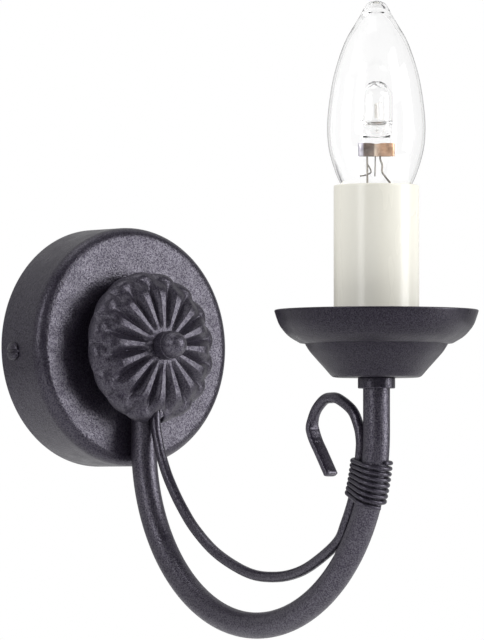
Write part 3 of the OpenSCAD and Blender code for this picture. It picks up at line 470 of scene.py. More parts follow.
wire_d = 2.2
wire_around = 20
earth_path = np.array([
    (-6.5, -3.1, -15), (-5.9, -3.1, -15), (-4, -3.3, -16.5), (-1.5, -5, -18.2), (0, -8.5, -19),
    (0.4, -12.5, -19.2), (0.3, -16.5, -18.5), (0.1, -19.2, -16.8), (0, -20, -15), (0, -20.4, -14.1),
    (0, -20.4, -13.5),
])
earth_path = smooth_line(earth_path, 6)
skin(
    "earth_wire_striped", "earth_wire",
    tube_skin(earth_path, wire_d / 2, wire_around, (0, 0, 1)), "fixture",
    wire_cover("green_yellow_cover", (0.03, 0.2, 0.05, 1), (0.62, 0.55, 0.03, 1)),
    marks={"spiral": spiral_marks(earth_path, wire_around, 9.0)},
)
soften_node("earth_screw", "fixture", turned_brass, 0.00015)
soften_node("earth_tags", "fixture", turned_brass, 0.0001)


# Wall cover and its screws
# A deep-drawn steel cup hides the bracket; two domed slotted screws through its side hold it to the ears.
# Everything outside is powder-coated graphite black with a fine sandy grain, which rubs lighter on edges.
def sandy_group():
    """Grain: layered noise, 0 to 1. Speck: a finer noise, spread over 0 to 1. Height: the first noise less
    the distance to the nearest pebble. Scales are in grains a metre."""
    group, place, scale = new_group("sandy_coat", ("Grain", "Speck", "Height"))
    coarse = add_node(
        group, "ShaderNodeTexNoise", {"Detail": 3.0, "Roughness": 0.6}, {"Vector": place, "Scale": scale}
    ).outputs["Fac"]
    fine_scale = combined(group, "MULTIPLY", scale, 1.7)
    fine = add_node(group, "ShaderNodeTexNoise", {"Detail": 1.0}, {"Vector": place, "Scale": fine_scale})
    pebble = add_node(
        group, "ShaderNodeTexVoronoi", {"feature": "SMOOTH_F1", "Smoothness": 0.6},
        {"Vector": place, "Scale": scale},
    )
    hollow = ranged(group, pebble.outputs["Distance"], 0.0, 1.0, 0.0, 0.6)
    add_node(group, "NodeGroupOutput", links={
        "Grain": ranged(group, coarse, 0.36, 0.64),
        "Speck": ranged(group, fine.outputs["Fac"], 0.34, 0.62),
        "Height": combined(group, "SUBTRACT", coarse, hollow),
    })
    return group


sandy_coat = sandy_group()
coat_dark = (0.006, 0.0048, 0.0084, 1)
coat_light = (0.018, 0.015, 0.024, 1)
coat_worn = (0.05, 0.046, 0.06, 1)
gloss_pit = (0.24, 0.21, 0.3, 1)
gloss_grain = (0.9, 0.86, 1.0, 1)


def black_coat(name, grain_scale=1150.0, grain_height=0.0001, smooth=0.27, rough=0.4, index=1.75):
    """The sandy powder coat: nearly black, with a bluish gloss that is strong on the grains and weak in the
    pits between them, and worn lighter where the mark 'edge' is high."""
    material, tree, shader = new_material(name)
    shader.inputs["IOR"].default_value = index
    place = object_place(tree)
    sand = add_group(tree, sandy_coat, place, grain_scale)
    patch = noise(tree, place, 160.0, 3.0)
    rubbed = combined(tree, "MULTIPLY", mark_of(tree, "edge"), ranged(tree, patch, 0.3, 0.65, 0.35, 1.0))
    base = blend_colours(tree, sand["Grain"], coat_dark, coat_light)
    base = blend_colours(tree, rubbed, base, coat_worn)
    gloss = blend_colours(tree, sand["Speck"], gloss_pit, gloss_grain)
    tree.links.new(base, shader.inputs["Base Color"])
    tree.links.new(gloss, shader.inputs["Specular Tint"])
    tree.links.new(ranged(tree, patch, 0.3, 0.7, smooth, rough), shader.inputs["Roughness"])
    add_bump(tree, shader, sand["Height"], 1.0, grain_height)
    return material


def soften(corners, radius, steps=6, closed=True):
    """Rounds a profile's corners. Each corner P gets the curve (1-t)^2 A + 2 t (1-t) P + t^2 B from A to B,
    the points at the rounding's distance on its two sides, at most 0.45 of the shorter side."""
    p = np.asarray(corners, float)
    before = np.roll(p, 1, axis=0) - p
    after = np.roll(p, -1, axis=0) - p
    length_before = np.linalg.norm(before, axis=1)
    length_after = np.linalg.norm(after, axis=1)
    cut = np.minimum(np.broadcast_to(radius, len(p)), 0.45 * np.minimum(length_before, length_after))
    start = p + before / length_before[:, None] * cut[:, None]
    end = p + after / length_after[:, None] * cut[:, None]
    t = np.linspace(0, 1, steps)[None, :, None]
    curve = (1 - t) ** 2 * start[:, None] + 2 * t * (1 - t) * p[:, None] + t ** 2 * end[:, None]
    if closed:
        return curve.reshape(-1, 2)
    return np.concatenate([p[:1], curve[1:-1].reshape(-1, 2), p[-1:]])


def finer(profile, longest, closed=False):
    """More points on the long stretches of a profile, none further apart than longest. A closed profile
    gets them between its last point and its first too."""
    p = np.asarray(profile, float)
    if closed:
        p = np.concatenate([p, p[:1]])
    run = lengths_along(p)
    extra = np.arange(0, run[-1], longest)
    at = np.unique(np.round(np.concatenate([run, extra]), 6))
    points = np.stack([np.interp(at, run, p[:, k]) for k in (0, 1)], axis=1)
    return points[:-1] if closed else points


def turned(profile, axis, columns=128):
    """A profile of radius and height carried round an axis: centre + r (e1 cos a + e2 sin a) + h e3.
    The axis is 'wall', straight out from the cover's centre, or 'candle', up through the candle."""
    p = np.asarray(profile, float)
    angle = round_angles(columns)
    r, h = p[:, :1], p[:, 1:]
    if axis == "wall":
        return places_of(r * np.cos(angle), -h, r * np.sin(angle))
    return places_of(r * np.cos(angle), r * np.sin(angle) - candle_out, h)


candle_out = 166.5
cover_r = 45
cover_depth = 24.4
cover_wall = 1.2
cover_edge_r = 4.5
spigot_hole_r = 5.02
cover_screw_out = 8.2
cover_screw_z = -2

corner = np.linspace(0, np.pi / 2, 16)[:, None]
outer_corner, inner_corner = (
    (cover_r - cover_edge_r, cover_depth - cover_edge_r)
    + r * np.concatenate([np.cos(corner), np.sin(corner)], axis=1)
    for r in (cover_edge_r, cover_edge_r - cover_wall)
)
cover_profile = finer(np.concatenate([
    [(cover_r - cover_wall, 0.4), (cover_r - 0.85, 0.06), (cover_r - 0.6, 0.0), (cover_r - 0.25, 0.08),
     (cover_r, 0.4)],
    outer_corner, [(spigot_hole_r, cover_depth)], [(spigot_hole_r, cover_depth - cover_wall)],
    inner_corner[::-1],
]), 1.2, closed=True)
worn_middle = (43.7, 23.0)
worn_width = 1.3
cover_edge = np.exp(-(((cover_profile - worn_middle) / worn_width) ** 2).sum(1))
cover_coat = black_coat("cover_coat")
skin(
    "wall_cover_coated", "wall_cover",
    turned(cover_profile, "wall", 256), "fixture", cover_coat,
    closed_along=True, marks={"edge": 0.4 * cover_edge[:, None]},
)


def slotted_dome(side):
    """A screw head: h = dome - slot, the dome highest in its middle, and the slot deepest where |z| is less
    than its half width, with steep walls. A straight shank behind it reaches the bracket's ear."""
    head_r = 3.4
    shank_r = 1.98
    dome_h = 1.8
    slot_depth = 0.8
    slot_half = 0.5
    slot_wall = 0.06
    share = np.linspace(0, 1, 26)[:, None]
    angle = round_angles(96)[None]
    beside_slot = np.abs(head_r * share * np.sin(angle)) - slot_half
    top = dome_h - 0.9 * share ** 2 - 0.25 * share ** 8 - slot_depth / (1 + np.exp(beside_slot / slot_wall))
    shank = np.array([(0, head_r), (0, shank_r), (-3.8, shank_r), (-4.1, 0)])
    height = np.concatenate([top, np.repeat(shank[:, :1], angle.size, axis=1)])
    r = np.concatenate([head_r * share, shank[:, 1:]])
    grid = places_of(height, r * np.cos(angle), r * np.sin(angle))
    return grid * (side, 1, 1) + (side * (cover_r + 0.02), -cover_screw_out, cover_screw_z)


screw_coat = black_coat("screw_coat", grain_height=0.00008)
for side, label in ((-1, "left"), (1, "right")):
    skin(
        "cover_screw_" + label, "cover_screws",
        slotted_dome(side), "fixture", screw_coat, sharp=50,
    )


# Hub, washer and nut
# A turned steel boss stands on the cover's face; its hollow spigot passes through and takes washer and nut.
# The arm and the scroll are brazed into its underside and coated with it; a stud carries the finial.
hub_coat = black_coat("hub_coat", grain_height=0.00006)
soften_node("arm_hub", "fixture", hub_coat, 0.00025)
soften_node("hub_washer", "fixture", zinc_plate, 0.00015)
soften_node("hub_nut", "fixture", turned_brass, 0.0003)
soften_node("finial_stud", "fixture", screw_steel, 0.0002)


# Rosette and finial
# A dish pressed from thin steel sheet. Its sixteen petals are troughs between flat ribs and bulge at the
# shoulder, and an arch through its lower edge lets the scroll out.
# A domed nut holds it on the hub's stud, and the scroll pushes its lower edge a little outwards.
petals = 16
rosette_r = 28.6
rosette_flat_r = 6.5
rosette_rim_out = 32.5
rosette_face_out = 42.4
rosette_t = 0.9
stud_hole_r = 2.52
rib_slope = 0.14
petal_drop = 0.54
petal_scallop = 0.02
petal_sink = 2.2
petal_edge_power = 18
rib_share = 0.34
rib_fall = 3
rib_rounding = 6
shoulder_share = 0.76
shoulder_width = 0.14
rosette_turn = math.radians(-3)
rosette_tilt = math.radians(-3.5)
hub_front_out = rosette_face_out - rosette_t
rod_out = 36.5
notch_top_z = -23.3
notch_r = 2.7
notch_h = 4.2


def tilt_on_hub(grid):
    """Turns points about the x line through the hub front's middle, by the rosette's tilt."""
    middle = np.array([0, -hub_front_out, 0])
    c, s = math.cos(rosette_tilt), math.sin(rosette_tilt)
    turn = np.array([(1, 0, 0), (0, c, -s), (0, s, c)])
    return (grid - middle) @ turn.T + middle


def rosette_layer(share, angle, back):
    """One face of the dish, by its height over the rim: ribs are the lower of 1 - slope share and
    fall (1 - share), rounded where they meet; petals are (1 - drop (1 - exp(-sink share))) times
    (1 - share^edge power)^0.5. Round the dish petal = |sin(8 (angle - turn))|, and ribs blend into petals
    evenly past the rib's half width, and as petal^0.7 beyond the shoulder. The back lies one sheet
    behind."""
    petal = np.abs(np.sin((angle - rosette_turn) * petals / 2))
    trough = np.maximum(0, np.arcsin(petal) / (np.pi / 2) - rib_share) / (1 - rib_share)
    outer = np.clip((share - shoulder_share) / shoulder_width, 0, 1)
    middle = trough + (petal ** 0.7 - trough) * outer
    r = rosette_flat_r + (rosette_r - rosette_flat_r) * share
    skirt = share ** 3
    reach = r * (1 - petal_scallop * share * (1 - petal)) - back * skirt
    steep = rib_fall * (1 - share)
    rib_height = steep / (1 + (steep / (1 - rib_slope * share)) ** rib_rounding) ** (1 / rib_rounding)
    petal_top = 1 - petal_drop * (1 - np.exp(-petal_sink * share))
    petal_height = petal_top * np.sqrt(1 - share ** petal_edge_power)
    height = rib_height + (petal_height - rib_height) * middle
    out = rosette_rim_out + (rosette_face_out - rosette_rim_out) * height - back * (1 - 0.7 * skirt)
    return places_of(reach * np.cos(angle), -out, reach * np.sin(angle))


rosette_columns = 512
rosette_rows = 48
ring_angle = round_angles(rosette_columns)[None]
trial = np.linspace(0, 1, 400)[:, None]
trial_places = tilt_on_hub(rosette_layer(trial, ring_angle, rosette_t))
in_notch = (
    (trial_places[..., 0] / notch_r) ** 2 + ((trial_places[..., 2] - notch_top_z) / notch_h + 1) ** 2 < 1
)
kept_share = np.where(in_notch.any(0), trial[:, 0][np.argmax(in_notch, axis=0)], 1.0)[None]
row_share = np.sin(np.linspace(0, np.pi / 2, rosette_rows))[:, None] * kept_share
front = rosette_layer(row_share, ring_angle, 0.0)
behind = rosette_layer(row_share, ring_angle, rosette_t)
bore = places_of(stud_hole_r * np.cos(ring_angle), -rosette_face_out, stud_hole_r * np.sin(ring_angle))
bore_behind = bore + (0, rosette_t, 0)
rosette_grid = tilt_on_hub(np.concatenate([bore, front, behind[::-1], bore_behind]))
edge_rows = np.concatenate([[0], row_share.mean(1) ** 12, row_share.mean(1)[::-1] ** 12, [0]])[:, None]
rosette_coat = black_coat("rosette_coat", smooth=0.38, rough=0.42, index=1.9)
skin(
    "rosette_pressed", "rosette",
    rosette_grid, "fixture", rosette_coat, closed_along=True, sharp=60,
    marks={"edge": 0.5 * edge_rows},
)

finial_flank_h = 4.25
finial_dome_h = 6.45
finial_hole_h = 8
flank = soften([(stud_hole_r, 0), (5.3, 0), (5.3, 4.1), (5.12, finial_flank_h)], 0.3, closed=False)
dome_angle = np.linspace(0, np.pi / 2, 22)[:, None]
dome = np.concatenate(
    [5.1 * np.cos(dome_angle), finial_flank_h + finial_dome_h * np.sin(dome_angle)], axis=1
)
stud_hole = [(0, finial_hole_h), (stud_hole_r, finial_hole_h), (stud_hole_r, 0)]
finial_profile = finer(np.concatenate([flank, dome, stud_hole]), 0.5)
finial_profile = finial_profile + (0, rosette_face_out)
finial_coat = black_coat("finial_coat", smooth=0.38, rough=0.44, index=2.2)
skin(
    "finial_domed", "finial_nut",
    tilt_on_hub(turned(finial_profile, "wall", 96)), "fixture", finial_coat
)


# Arm
# A steel tube bent into a U on a former: down from the hub, round under the candle and up to the holder.
# The bends pull its outside a little thin, which the thick powder coat hides.
tube_r = 4.8
tube_wall = 1.0
leg_out = 29.5
arm_centre_out = 96.5
wall_bend = (67, -36.4)
candle_bend = (70, -33.4)
tube_in_hub_z = -3.05
tube_top_z = 9.9


def bend_points(bend, start, end, steps):
    """Points of a bend in the plane x = 0: (0, -(centre - r cos a), z - r sin a)."""
    r, z = bend
    a = np.linspace(start, end, steps)
    return places_of(0.0, -arm_centre_out + r * np.cos(a), z - r * np.sin(a))


def leg_points(out, start_z, end_z, steps):
    """Evenly spaced points of an upright stretch that stands out from the wall by out."""
    return places_of(0.0, -out, np.linspace(start_z, end_z, steps))


arm_path = np.concatenate([
    leg_points(leg_out, tube_in_hub_z, wall_bend[1], 13)[:-1],
    bend_points(wall_bend, 0, np.pi / 2, 49),
    bend_points(candle_bend, np.pi / 2, np.pi, 49)[1:],
    leg_points(candle_out, candle_bend[1], tube_top_z, 16)[1:],
])
outside = tube_skin(arm_path, tube_r, 64, (1, 0, 0))[1:-1]
bore_side = tube_skin(arm_path, tube_r - tube_wall, 64, (1, 0, 0))[1:-1]
arm_coat = black_coat("arm_coat", smooth=0.34, rough=0.46, index=2.1)
skin(
    "arm_tube_coated", "arm_tube",
    np.concatenate([outside, bore_side[::-1]]), "fixture", arm_coat,
    closed_along=True,
)


# Scroll
# A round steel rod bent cold into a long sweep; its last stretch is hammered flat and curled into a hook.
# The hammer leaves shallow flats and slightly wavy edges, and the tip is sheared off square.
rod_r = 1.95
rod_end_z = -5.02
bend_drop = 103.4
scroll_lean = 1.4
rod_spacing = tube_r + rod_r + 0.1
binding_angle = math.asin(10.2 / candle_bend[0])
bound_r = candle_bend[0] - math.sqrt(rod_spacing ** 2 - scroll_lean ** 2)
sweep_from_rosette = np.array([
    (0, 0.193), (0.3, 0.285), (2.3, 0.358), (5.4, 0.429), (9.4, 0.494), (16.4, 0.58), (25.5, 0.666),
    (39, 0.751), (57.5, 0.815), (73.2, 0.827), (86.8, 0.809), (98.3, 0.766),
])
hook_from_binding = np.array([
    (0, 4.5), (-1.3, 8.9), (-4.9, 14.3), (-12.4, 18.4), (-16.9, 19), (-21, 18.3), (-25.6, 14.7),
    (-27.7, 10.6), (-27.8, 7.8), (-25.9, 3.8), (-22.8, -0.5), (-17.1, -8.6),
])
bound_angles = np.append(np.radians([38, 31, 23, 15]), binding_angle - math.radians(2.5))
bound_points = np.stack([
    arm_centre_out + bound_r * np.cos(bound_angles), candle_bend[1] - bound_r * np.sin(bound_angles)
], axis=1)
scroll_steps = 8
scroll_line = smooth_line(np.concatenate([
    [(rod_out, rod_end_z), (rod_out, -12)],
    sweep_from_rosette * (1, -bend_drop) + (rod_out, 0),
    bound_points,
    bound_points[-1] + hook_from_binding,
]), scroll_steps)
lean_per_mm = scroll_lean / (arm_centre_out + bound_r * math.cos(math.radians(15)) - rod_out)
scroll_path = np.stack(
    [-(scroll_line[:, 0] - rod_out) * lean_per_mm, -scroll_line[:, 0], scroll_line[:, 1]], axis=1
)


def signed_power(wave, power):
    """sgn(wave) |wave|^power: a power below 1 makes a section drawn with cosine and sine squarer."""
    return np.sign(wave) * np.abs(wave) ** power


def hammered_skin(path, hammered_rings, around):
    """Rings round a path with half width w, half thickness t and squareness n:
    w across sgn(cos a)|cos a|^n + t through sgn(sin a)|sin a|^n. Over the hammered rings w goes from
    1.95 to 2.79, t to 1.25 and n from 1 to 0.55, and dents of two long waves ride on both. Gives the
    grid and how far each of its rows is hammered."""
    flat_half_w = 2.79
    flat_half_t = 1.25
    ring = np.arange(len(path), dtype=float)
    share = eased((ring - (len(path) - 1 - hammered_rings)) / (hammered_rings / 2))
    run = lengths_along(path)
    dents = share * (0.07 * np.sin(run * 1.9) + 0.05 * np.sin(run * 3.1 + 1))
    width = rod_r + (flat_half_w - rod_r) * share + dents * 0.8
    thickness = rod_r + (flat_half_t - rod_r) * share - dents
    power = 1 - 0.45 * share
    along = directions(path)
    across = np.broadcast_to((1.0, 0.0, 0.0), path.shape)
    across = across - (across * along).sum(1)[:, None] * along
    across = across / np.linalg.norm(across, axis=1)[:, None]
    through = np.cross(along, across)
    a = round_angles(around)
    c, s = signed_power(np.cos(a), power[:, None]), signed_power(np.sin(a), power[:, None])
    rings = (path[:, None] + (width[:, None] * c)[..., None] * across[:, None]
             + (thickness[:, None] * s)[..., None] * through[:, None])
    near_end = path[-1] + (rings[-1] - path[-1]) * 0.86
    pulled = rings[-1:] - along[-1] * 0.25
    rings = np.concatenate([rings[:-1], pulled, near_end[None]])
    return capped(rings, path[0], path[-1]), np.concatenate([[0], share, [1, 1]])


scroll_around = 40
scroll_grid, flattened = hammered_skin(scroll_path, 5 * scroll_steps, scroll_around)
scroll_edges = 0.75 * flattened[:, None] * np.abs(np.cos(round_angles(scroll_around))) ** 6
scroll_coat = black_coat("scroll_coat", index=1.95)
skin(
    "scroll_rod_hammered", "scroll_rod",
    scroll_grid, "fixture", scroll_coat, sharp=45,
    marks={"edge": scroll_edges},
)


# Binding
# One length of soft iron wire wound eight times round arm and scroll, then coated over with the rest.
# Its path is the outline round both rods, carried down the candle's bend, a pitch a turn.
wire_pitch = 1.92
wire_turns = 8
binding_r = 0.78
turn_gap = 0.05
around_tube = tube_r + binding_r + turn_gap
around_rod = rod_r + binding_r + turn_gap
rod_side = math.pi + math.asin(scroll_lean / rod_spacing)
rod_reach = math.acos((around_tube - around_rod) / rod_spacing)


def winding(turn):
    """The outline round two circles is the outer one's support: the point of whichever circle lies
    furthest in the direction of the angle, joined by straights. Angle = 2 pi turn; the winding goes down
    the bend by pitch / bend radius a turn."""
    down = binding_angle + turn * wire_pitch / candle_bend[0]
    angle = 2 * np.pi * turn
    off = np.abs((angle - rod_side + np.pi) % (2 * np.pi) - np.pi)
    on_rod = (off <= rod_reach)[:, None]
    round_both = np.stack([np.cos(angle), np.sin(angle)], axis=1)
    rod_middle = rod_spacing * np.array([math.cos(rod_side), math.sin(rod_side)])
    away = np.where(on_rod, rod_middle + around_rod * round_both, around_tube * round_both)
    reach = candle_bend[0] + away[:, 0]
    out = arm_centre_out + reach * np.cos(down)
    return np.stack([away[:, 1], -out, candle_bend[1] - reach * np.sin(down)], axis=1)


turn = np.linspace(0, wire_turns, wire_turns * 60 + 1)
wound = winding(turn)
tuck_length = 0.9
tucked = wound[-1:] + directions(wound)[-1] * tuck_length
binding_coat = black_coat("binding_coat", grain_scale=1500.0, grain_height=0.00006)
skin(
    "binding_wire_wound", "binding_wire",
    tube_skin(np.concatenate([wound, tucked]), binding_r, 16, (0, 0, 1)),
    "fixture", binding_coat, sharp=50, marks={"edge": 0.25},
)


# Supply wires
# Two PVC-covered wires, live brown and neutral blue, run from the block through hub and arm to the holder.
# They lie loose in the tube and are cut to length at the holder's terminals.
wire_side = 1.6


def supply_path(side):
    """Points from the block's tube to the spigot, down the leg, round both bends and up to the holder."""
    block = smooth_line([
        (side * 10, -7.0, 8.5), (side * 10, -7.2, 6), (side * 8.5, -8.0, 3), (side * 5, -9.4, 0.5),
        (side * 2.4, -11.8, 0), (side * wire_side, -15.7, 0), (side * wire_side, -21.2, 0),
        (side * wire_side, -25.5, -0.2), (side * wire_side, -28.1, -2), (side * wire_side, -leg_out, -6),
    ], 6)
    shift = (side * wire_side, 0, 0)
    in_arm = np.concatenate([
        leg_points(leg_out, -13, -27, 3),
        bend_points(wall_bend, 0, math.radians(84), 20),
        bend_points(candle_bend, math.pi / 2, math.pi, 21),
        leg_points(candle_out, -27, 1, 5),
    ]) + shift
    holder = smooth_line([
        (side * 1.6, -candle_out, 10.9), (side * 1.9, -candle_out, 13.9), (side * 2.4, -candle_out, 15.9),
        (side * 3.4, -candle_out, 16.9), (side * 4.4, -candle_out, 16.9), (side * 5, -candle_out, 16.9),
    ], 5)
    return np.concatenate([block, in_arm, holder])


brown_cover = wire_cover("brown_cover", (0.1, 0.04, 0.018, 1))
blue_cover = wire_cover("blue_cover", (0.02, 0.09, 0.38, 1))
for side, node, slot_name, cover in (
    (-1, "live_wire", "wire_brown", brown_cover), (1, "neutral_wire", "wire_blue", blue_cover)
):
    supply = tube_skin(supply_path(side), wire_d / 2, wire_around, (1, 0, 0.01))
    skin(node + "_covered", node, supply, "fixture", cover)


# Collar, pan and nut
# A turned collar stops the pan on the tube; the pan is spun from steel sheet into two bowls with a ledge
# between, its rim dressed round. A hexagon nut inside clamps it down, and collar and pan are coated black.
pan_bottom_z = -14.0
pan_h = 24.1
pan_t = 1.0
pan_r = 36.5
pan_floor_r = 15.9
ledge_z = 12.2
ledge_w = 1.7
hole_r = 4.82
lower_bowl = np.array([
    (-1.4, 0), (-0.3, 0.25), (0.7, 1.1), (2.5, 3.2), (5.2, 6.2), (7.8, 9.2), (9.6, 12.0),
])
upper_bowl = np.array([(0, 0), (3.2, 2.1), (5.2, 4.2), (7, 7.1), (8.5, 11.9)])
step_r = pan_floor_r + lower_bowl[-1, 0] + ledge_w
upper_stretch = (pan_r - step_r) / upper_bowl[-1, 0]


def pan_side(inset):
    """The side of the pan: both bowls as smooth curves, moved in by the inset and up by part of it."""
    lower = smooth_line(lower_bowl + (pan_floor_r - inset, 0.7 * inset), 10)
    upper = smooth_line(upper_bowl * (upper_stretch, 1) + (step_r - inset, ledge_z + 0.4 * inset), 10)
    return np.concatenate([lower, upper])


rim_h = 0.42
below_rim = pan_h - rim_h - 0.03
flat_inside_r = 15.2
pan_outside = pan_side(0.0)
pan_inside = pan_side(pan_t)
pan_outside = pan_outside[pan_outside[:, 1] < below_rim]
above_floor = (pan_inside[:, 1] > pan_t + 0.02) & (pan_inside[:, 0] > flat_inside_r + 0.2)
pan_inside = pan_inside[above_floor & (pan_inside[:, 1] < below_rim)]
rim_turn = np.linspace(0, np.pi, 9)
rim_middle = (pan_outside[-1, 0] + pan_inside[-1, 0]) / 2 + 0.08
rim_round = np.stack(
    [rim_middle + 0.52 * np.cos(rim_turn), pan_h - rim_h + rim_h * np.sin(rim_turn)], axis=1
)
pan_profile = finer(np.concatenate([
    [(hole_r, 0.0)], pan_outside, rim_round, pan_inside[::-1], [(flat_inside_r, pan_t), (hole_r, pan_t)],
]), 1.0, closed=True)
pan_worn_width = 0.5
rim_wear = 0.5 * np.exp(-((pan_profile[:, 1] - pan_h) / pan_worn_width) ** 2)
ledge_wear = 0.25 * np.exp(-(((pan_profile - (step_r, ledge_z)) / pan_worn_width) ** 2).sum(1))
pan_edges = rim_wear + ledge_wear
pan_coat = black_coat("pan_coat", grain_scale=1500.0, grain_height=0.00006, index=1.5)
skin(
    "drip_pan_spun", "drip_pan",
    turned(pan_profile + (0, pan_bottom_z), "candle", 192), "fixture",
    pan_coat, closed_along=True, marks={"edge": pan_edges[:, None]},
)

collar_r = 6.65
collar_h = 3.9
under_pan = -0.02
collar_profile = soften(
    [(hole_r, -collar_h), (collar_r, -collar_h), (collar_r, under_pan), (hole_r, under_pan)], 0.45
)
collar_coat = black_coat("collar_coat")
skin(
    "pan_collar_turned", "pan_collar",
    turned(finer(collar_profile, 0.5) + (0, pan_bottom_z), "candle", 96), "fixture",
    collar_coat, closed_along=True, marks={"edge": 0.2},
)
soften_node("pan_nut", "fixture", turned_brass, 0.0003)


# Lampholder
# A moulded white base and body screw onto the tube's end; the body holds a pressed brass screw shell, and
# two brass blocks with screws take the wires. A sprung brass tongue meets the lamp's centre contact.
white_moulding = matt_plastic("white_moulding", (0.76, 0.75, 0.7, 1), (0.68, 0.67, 0.62, 1), 0.35)
soften_node("holder_base", "fixture", white_moulding, 0.0003)
soften_node("holder_body", "fixture", white_moulding, 0.0003)
soften_node("holder_terminals", "fixture", turned_brass, 0.00015)
soften_node("holder_screws", "fixture", screw_steel, 0.00012)
sprung_brass = metal("sprung_brass", (0.74, 0.55, 0.26, 1), (0.56, 0.4, 0.18, 1), smooth=0.18, rough=0.36)
soften_node("contact_tongue", "tongue", sprung_brass, 0.00006)

thread_pitch = 2.82
thread_depth = 0.42


def threaded(profile, low, high, columns=72):
    """A profile round the candle's axis with a rolled thread: r - depth (0.5 + 0.5 cos(2 pi z / pitch - a))
    from the height low to high, where it fades in and out over a pitch."""
    a = round_angles(columns)
    r, z = profile[:, :1], profile[:, 1:]
    fade = np.clip((z - low) / thread_pitch, 0, 1) * np.clip((high - z) / thread_pitch, 0, 1)
    wave = 0.5 + 0.5 * np.cos(2 * np.pi * z / thread_pitch - a)
    r = r - thread_depth * fade * wave
    return places_of(r * np.cos(a), r * np.sin(a) - candle_out, z)


shell_t = 0.35
shell_profile = finer([(7.5, 25.8), (7.5, 42.4)], 0.25)
shell_inner = shell_profile[::-1] - (shell_t, 0)
skin(
    "screw_shell_rolled", "screw_shell",
    threaded(np.concatenate([shell_profile, shell_inner]), 27.0, 42.0), "fixture",
    sprung_brass, closed_along=True,
)
leg_ring = soften([(6.9, -1), (7.4, -1), (7.4, 1), (6.9, 1)], 0.12, steps=3)
leg_rings = places_of(leg_ring[:, 0], leg_ring[:, 1] - candle_out, np.linspace(19.9, 26.6, 8)[:, None])
leg_grid = capped(leg_rings, leg_rings[0].mean(0), leg_rings[-1].mean(0))
skin("screw_shell_leg", "screw_shell", leg_grid, "fixture", sprung_brass)


# Candle sleeve
# A smooth cream plastic tube, cut from extrusion and rounded at its mouth, that stands loose on the pan
# over the lampholder. It is glossy and a little yellowed, with faint long drawing marks.
def cream_plastic():
    """Cream, drifting to a warmer cream in long soft streaks; a faint orange peel under the gloss."""
    material, tree, shader = new_material("cream_plastic")
    place = object_place(tree)
    long = add_node(tree, "ShaderNodeMapping", {"Scale": (90, 90, 12)}, {"Vector": place})
    streak = noise(tree, long.outputs["Vector"], 1.0, 3.0)
    share = ranged(tree, streak, 0.35, 0.68)
    base = blend_colours(tree, share, (0.8, 0.785, 0.71, 1), (0.77, 0.75, 0.665, 1))
    tree.links.new(base, shader.inputs["Base Color"])
    tree.links.new(ranged(tree, streak, 0.3, 0.7, 0.2, 0.32), shader.inputs["Roughness"])
    add_bump(tree, shader, noise(tree, place, 700.0, 1.0), 0.1, 0.00004)
    return material


sleeve_r = 15.2
sleeve_wall = 1.5
sleeve_low_z = -13.0
sleeve_top_z = 54.4
sleeve_profile = finer(soften(
    [(sleeve_r - sleeve_wall, sleeve_low_z), (sleeve_r, sleeve_low_z), (sleeve_r, sleeve_top_z),
     (sleeve_r - sleeve_wall, sleeve_top_z)],
    [0.2, 0.2, 0.7, 0.7], steps=8,
), 2.0, closed=True)
skin(
    "candle_sleeve_cream", "candle_sleeve",
    turned(sleeve_profile, "candle", 160), "sleeve", cream_plastic(),
    closed_along=True,
)


# Lamp cap
# A nickel-plated brass cap with a rolled thread carries the lamp; its flare is cemented to the glass neck.
# A black glass insulator closes its foot round a soldered centre contact.
nickel_plate = metal("nickel_plate", (0.6, 0.59, 0.56, 1), (0.44, 0.43, 0.41, 1), smooth=0.2, rough=0.38)
solder = metal("solder", (0.55, 0.55, 0.55, 1), (0.33, 0.33, 0.34, 1), smooth=0.3, rough=0.55, dent=0.00006)
black_glass = matt_plastic("black_glass", (0.012, 0.012, 0.014, 1), (0.02, 0.018, 0.02, 1), 0.12)
cap_outside = [(5.7, 26.3), (6.7, 27.3), (6.7, 43.9), (8.7, 45.9), (8.7, 48.4)]
cap_inside = [(8.2, 48.4), (8.2, 46.1), (6.2, 44.1), (6.2, 27.7), (5.2, 26.9), (5.2, 26.3)]
cap_profile = finer(soften(cap_outside + cap_inside, 0.35, steps=4), 0.25, closed=True)
skin(
    "lamp_cap_threaded", "lamp_cap",
    threaded(cap_profile, 27.0, 42.5, 96), "lamp", nickel_plate,
    closed_along=True,
)
soften_node("cap_insulator", "lamp", black_glass, 0.0002)
contact_r = 2.6
contact_z = 24.3
contact_turn = np.linspace(0, np.pi / 2, 10)
bulge = np.sin(contact_turn) * (1 - 0.04 * np.sin(5 * contact_turn))
contact_profile = np.concatenate([
    [(0.0, contact_z)], np.stack([contact_r * np.cos(contact_turn), contact_z - bulge], axis=1)
])
contact_grid = turned(contact_profile, "candle", 48)
skin("cap_contact_soldered", "cap_contact", contact_grid, "lamp", solder)


# Lamp glass and stem
# A clear candle-shaped bulb blown from thin glass, drawn to a tip, with its neck in the cap.
# The stem, a flared glass foot melted to the neck, holds the two support wires. Glass casts no shadow here.
def clear_glass(name, rim_shade_grey, ripple=0.00001):
    """Clear glass. It lets light straight through face on and turns grey towards its edges as the Layer
    Weight's facing value rises: painted shade for the dark rims that glass shows. A slow ripple bends
    what is seen through it."""
    material, tree, shader = new_material(name, roughness=0.0)
    shader.inputs["Transmission Weight"].default_value = 1.0
    shader.inputs["IOR"].default_value = 1.46
    shader.inputs["Specular IOR Level"].default_value = 0.2
    facing = add_node(tree, "ShaderNodeLayerWeight", {"Blend": 0.5}).outputs["Facing"]
    share = ranged(tree, facing, 0.76, 0.95)
    # Painted shade: the colour greys towards the edges and stands for the dark rims of the glass.
    base = blend_colours(tree, share, (1, 1, 1, 1), (rim_shade_grey, rim_shade_grey, rim_shade_grey * 1.02, 1))
    tree.links.new(base, shader.inputs["Base Color"])
    add_bump(tree, shader, noise(tree, object_place(tree), 55.0, 1.0), 0.3, ripple)
    return material


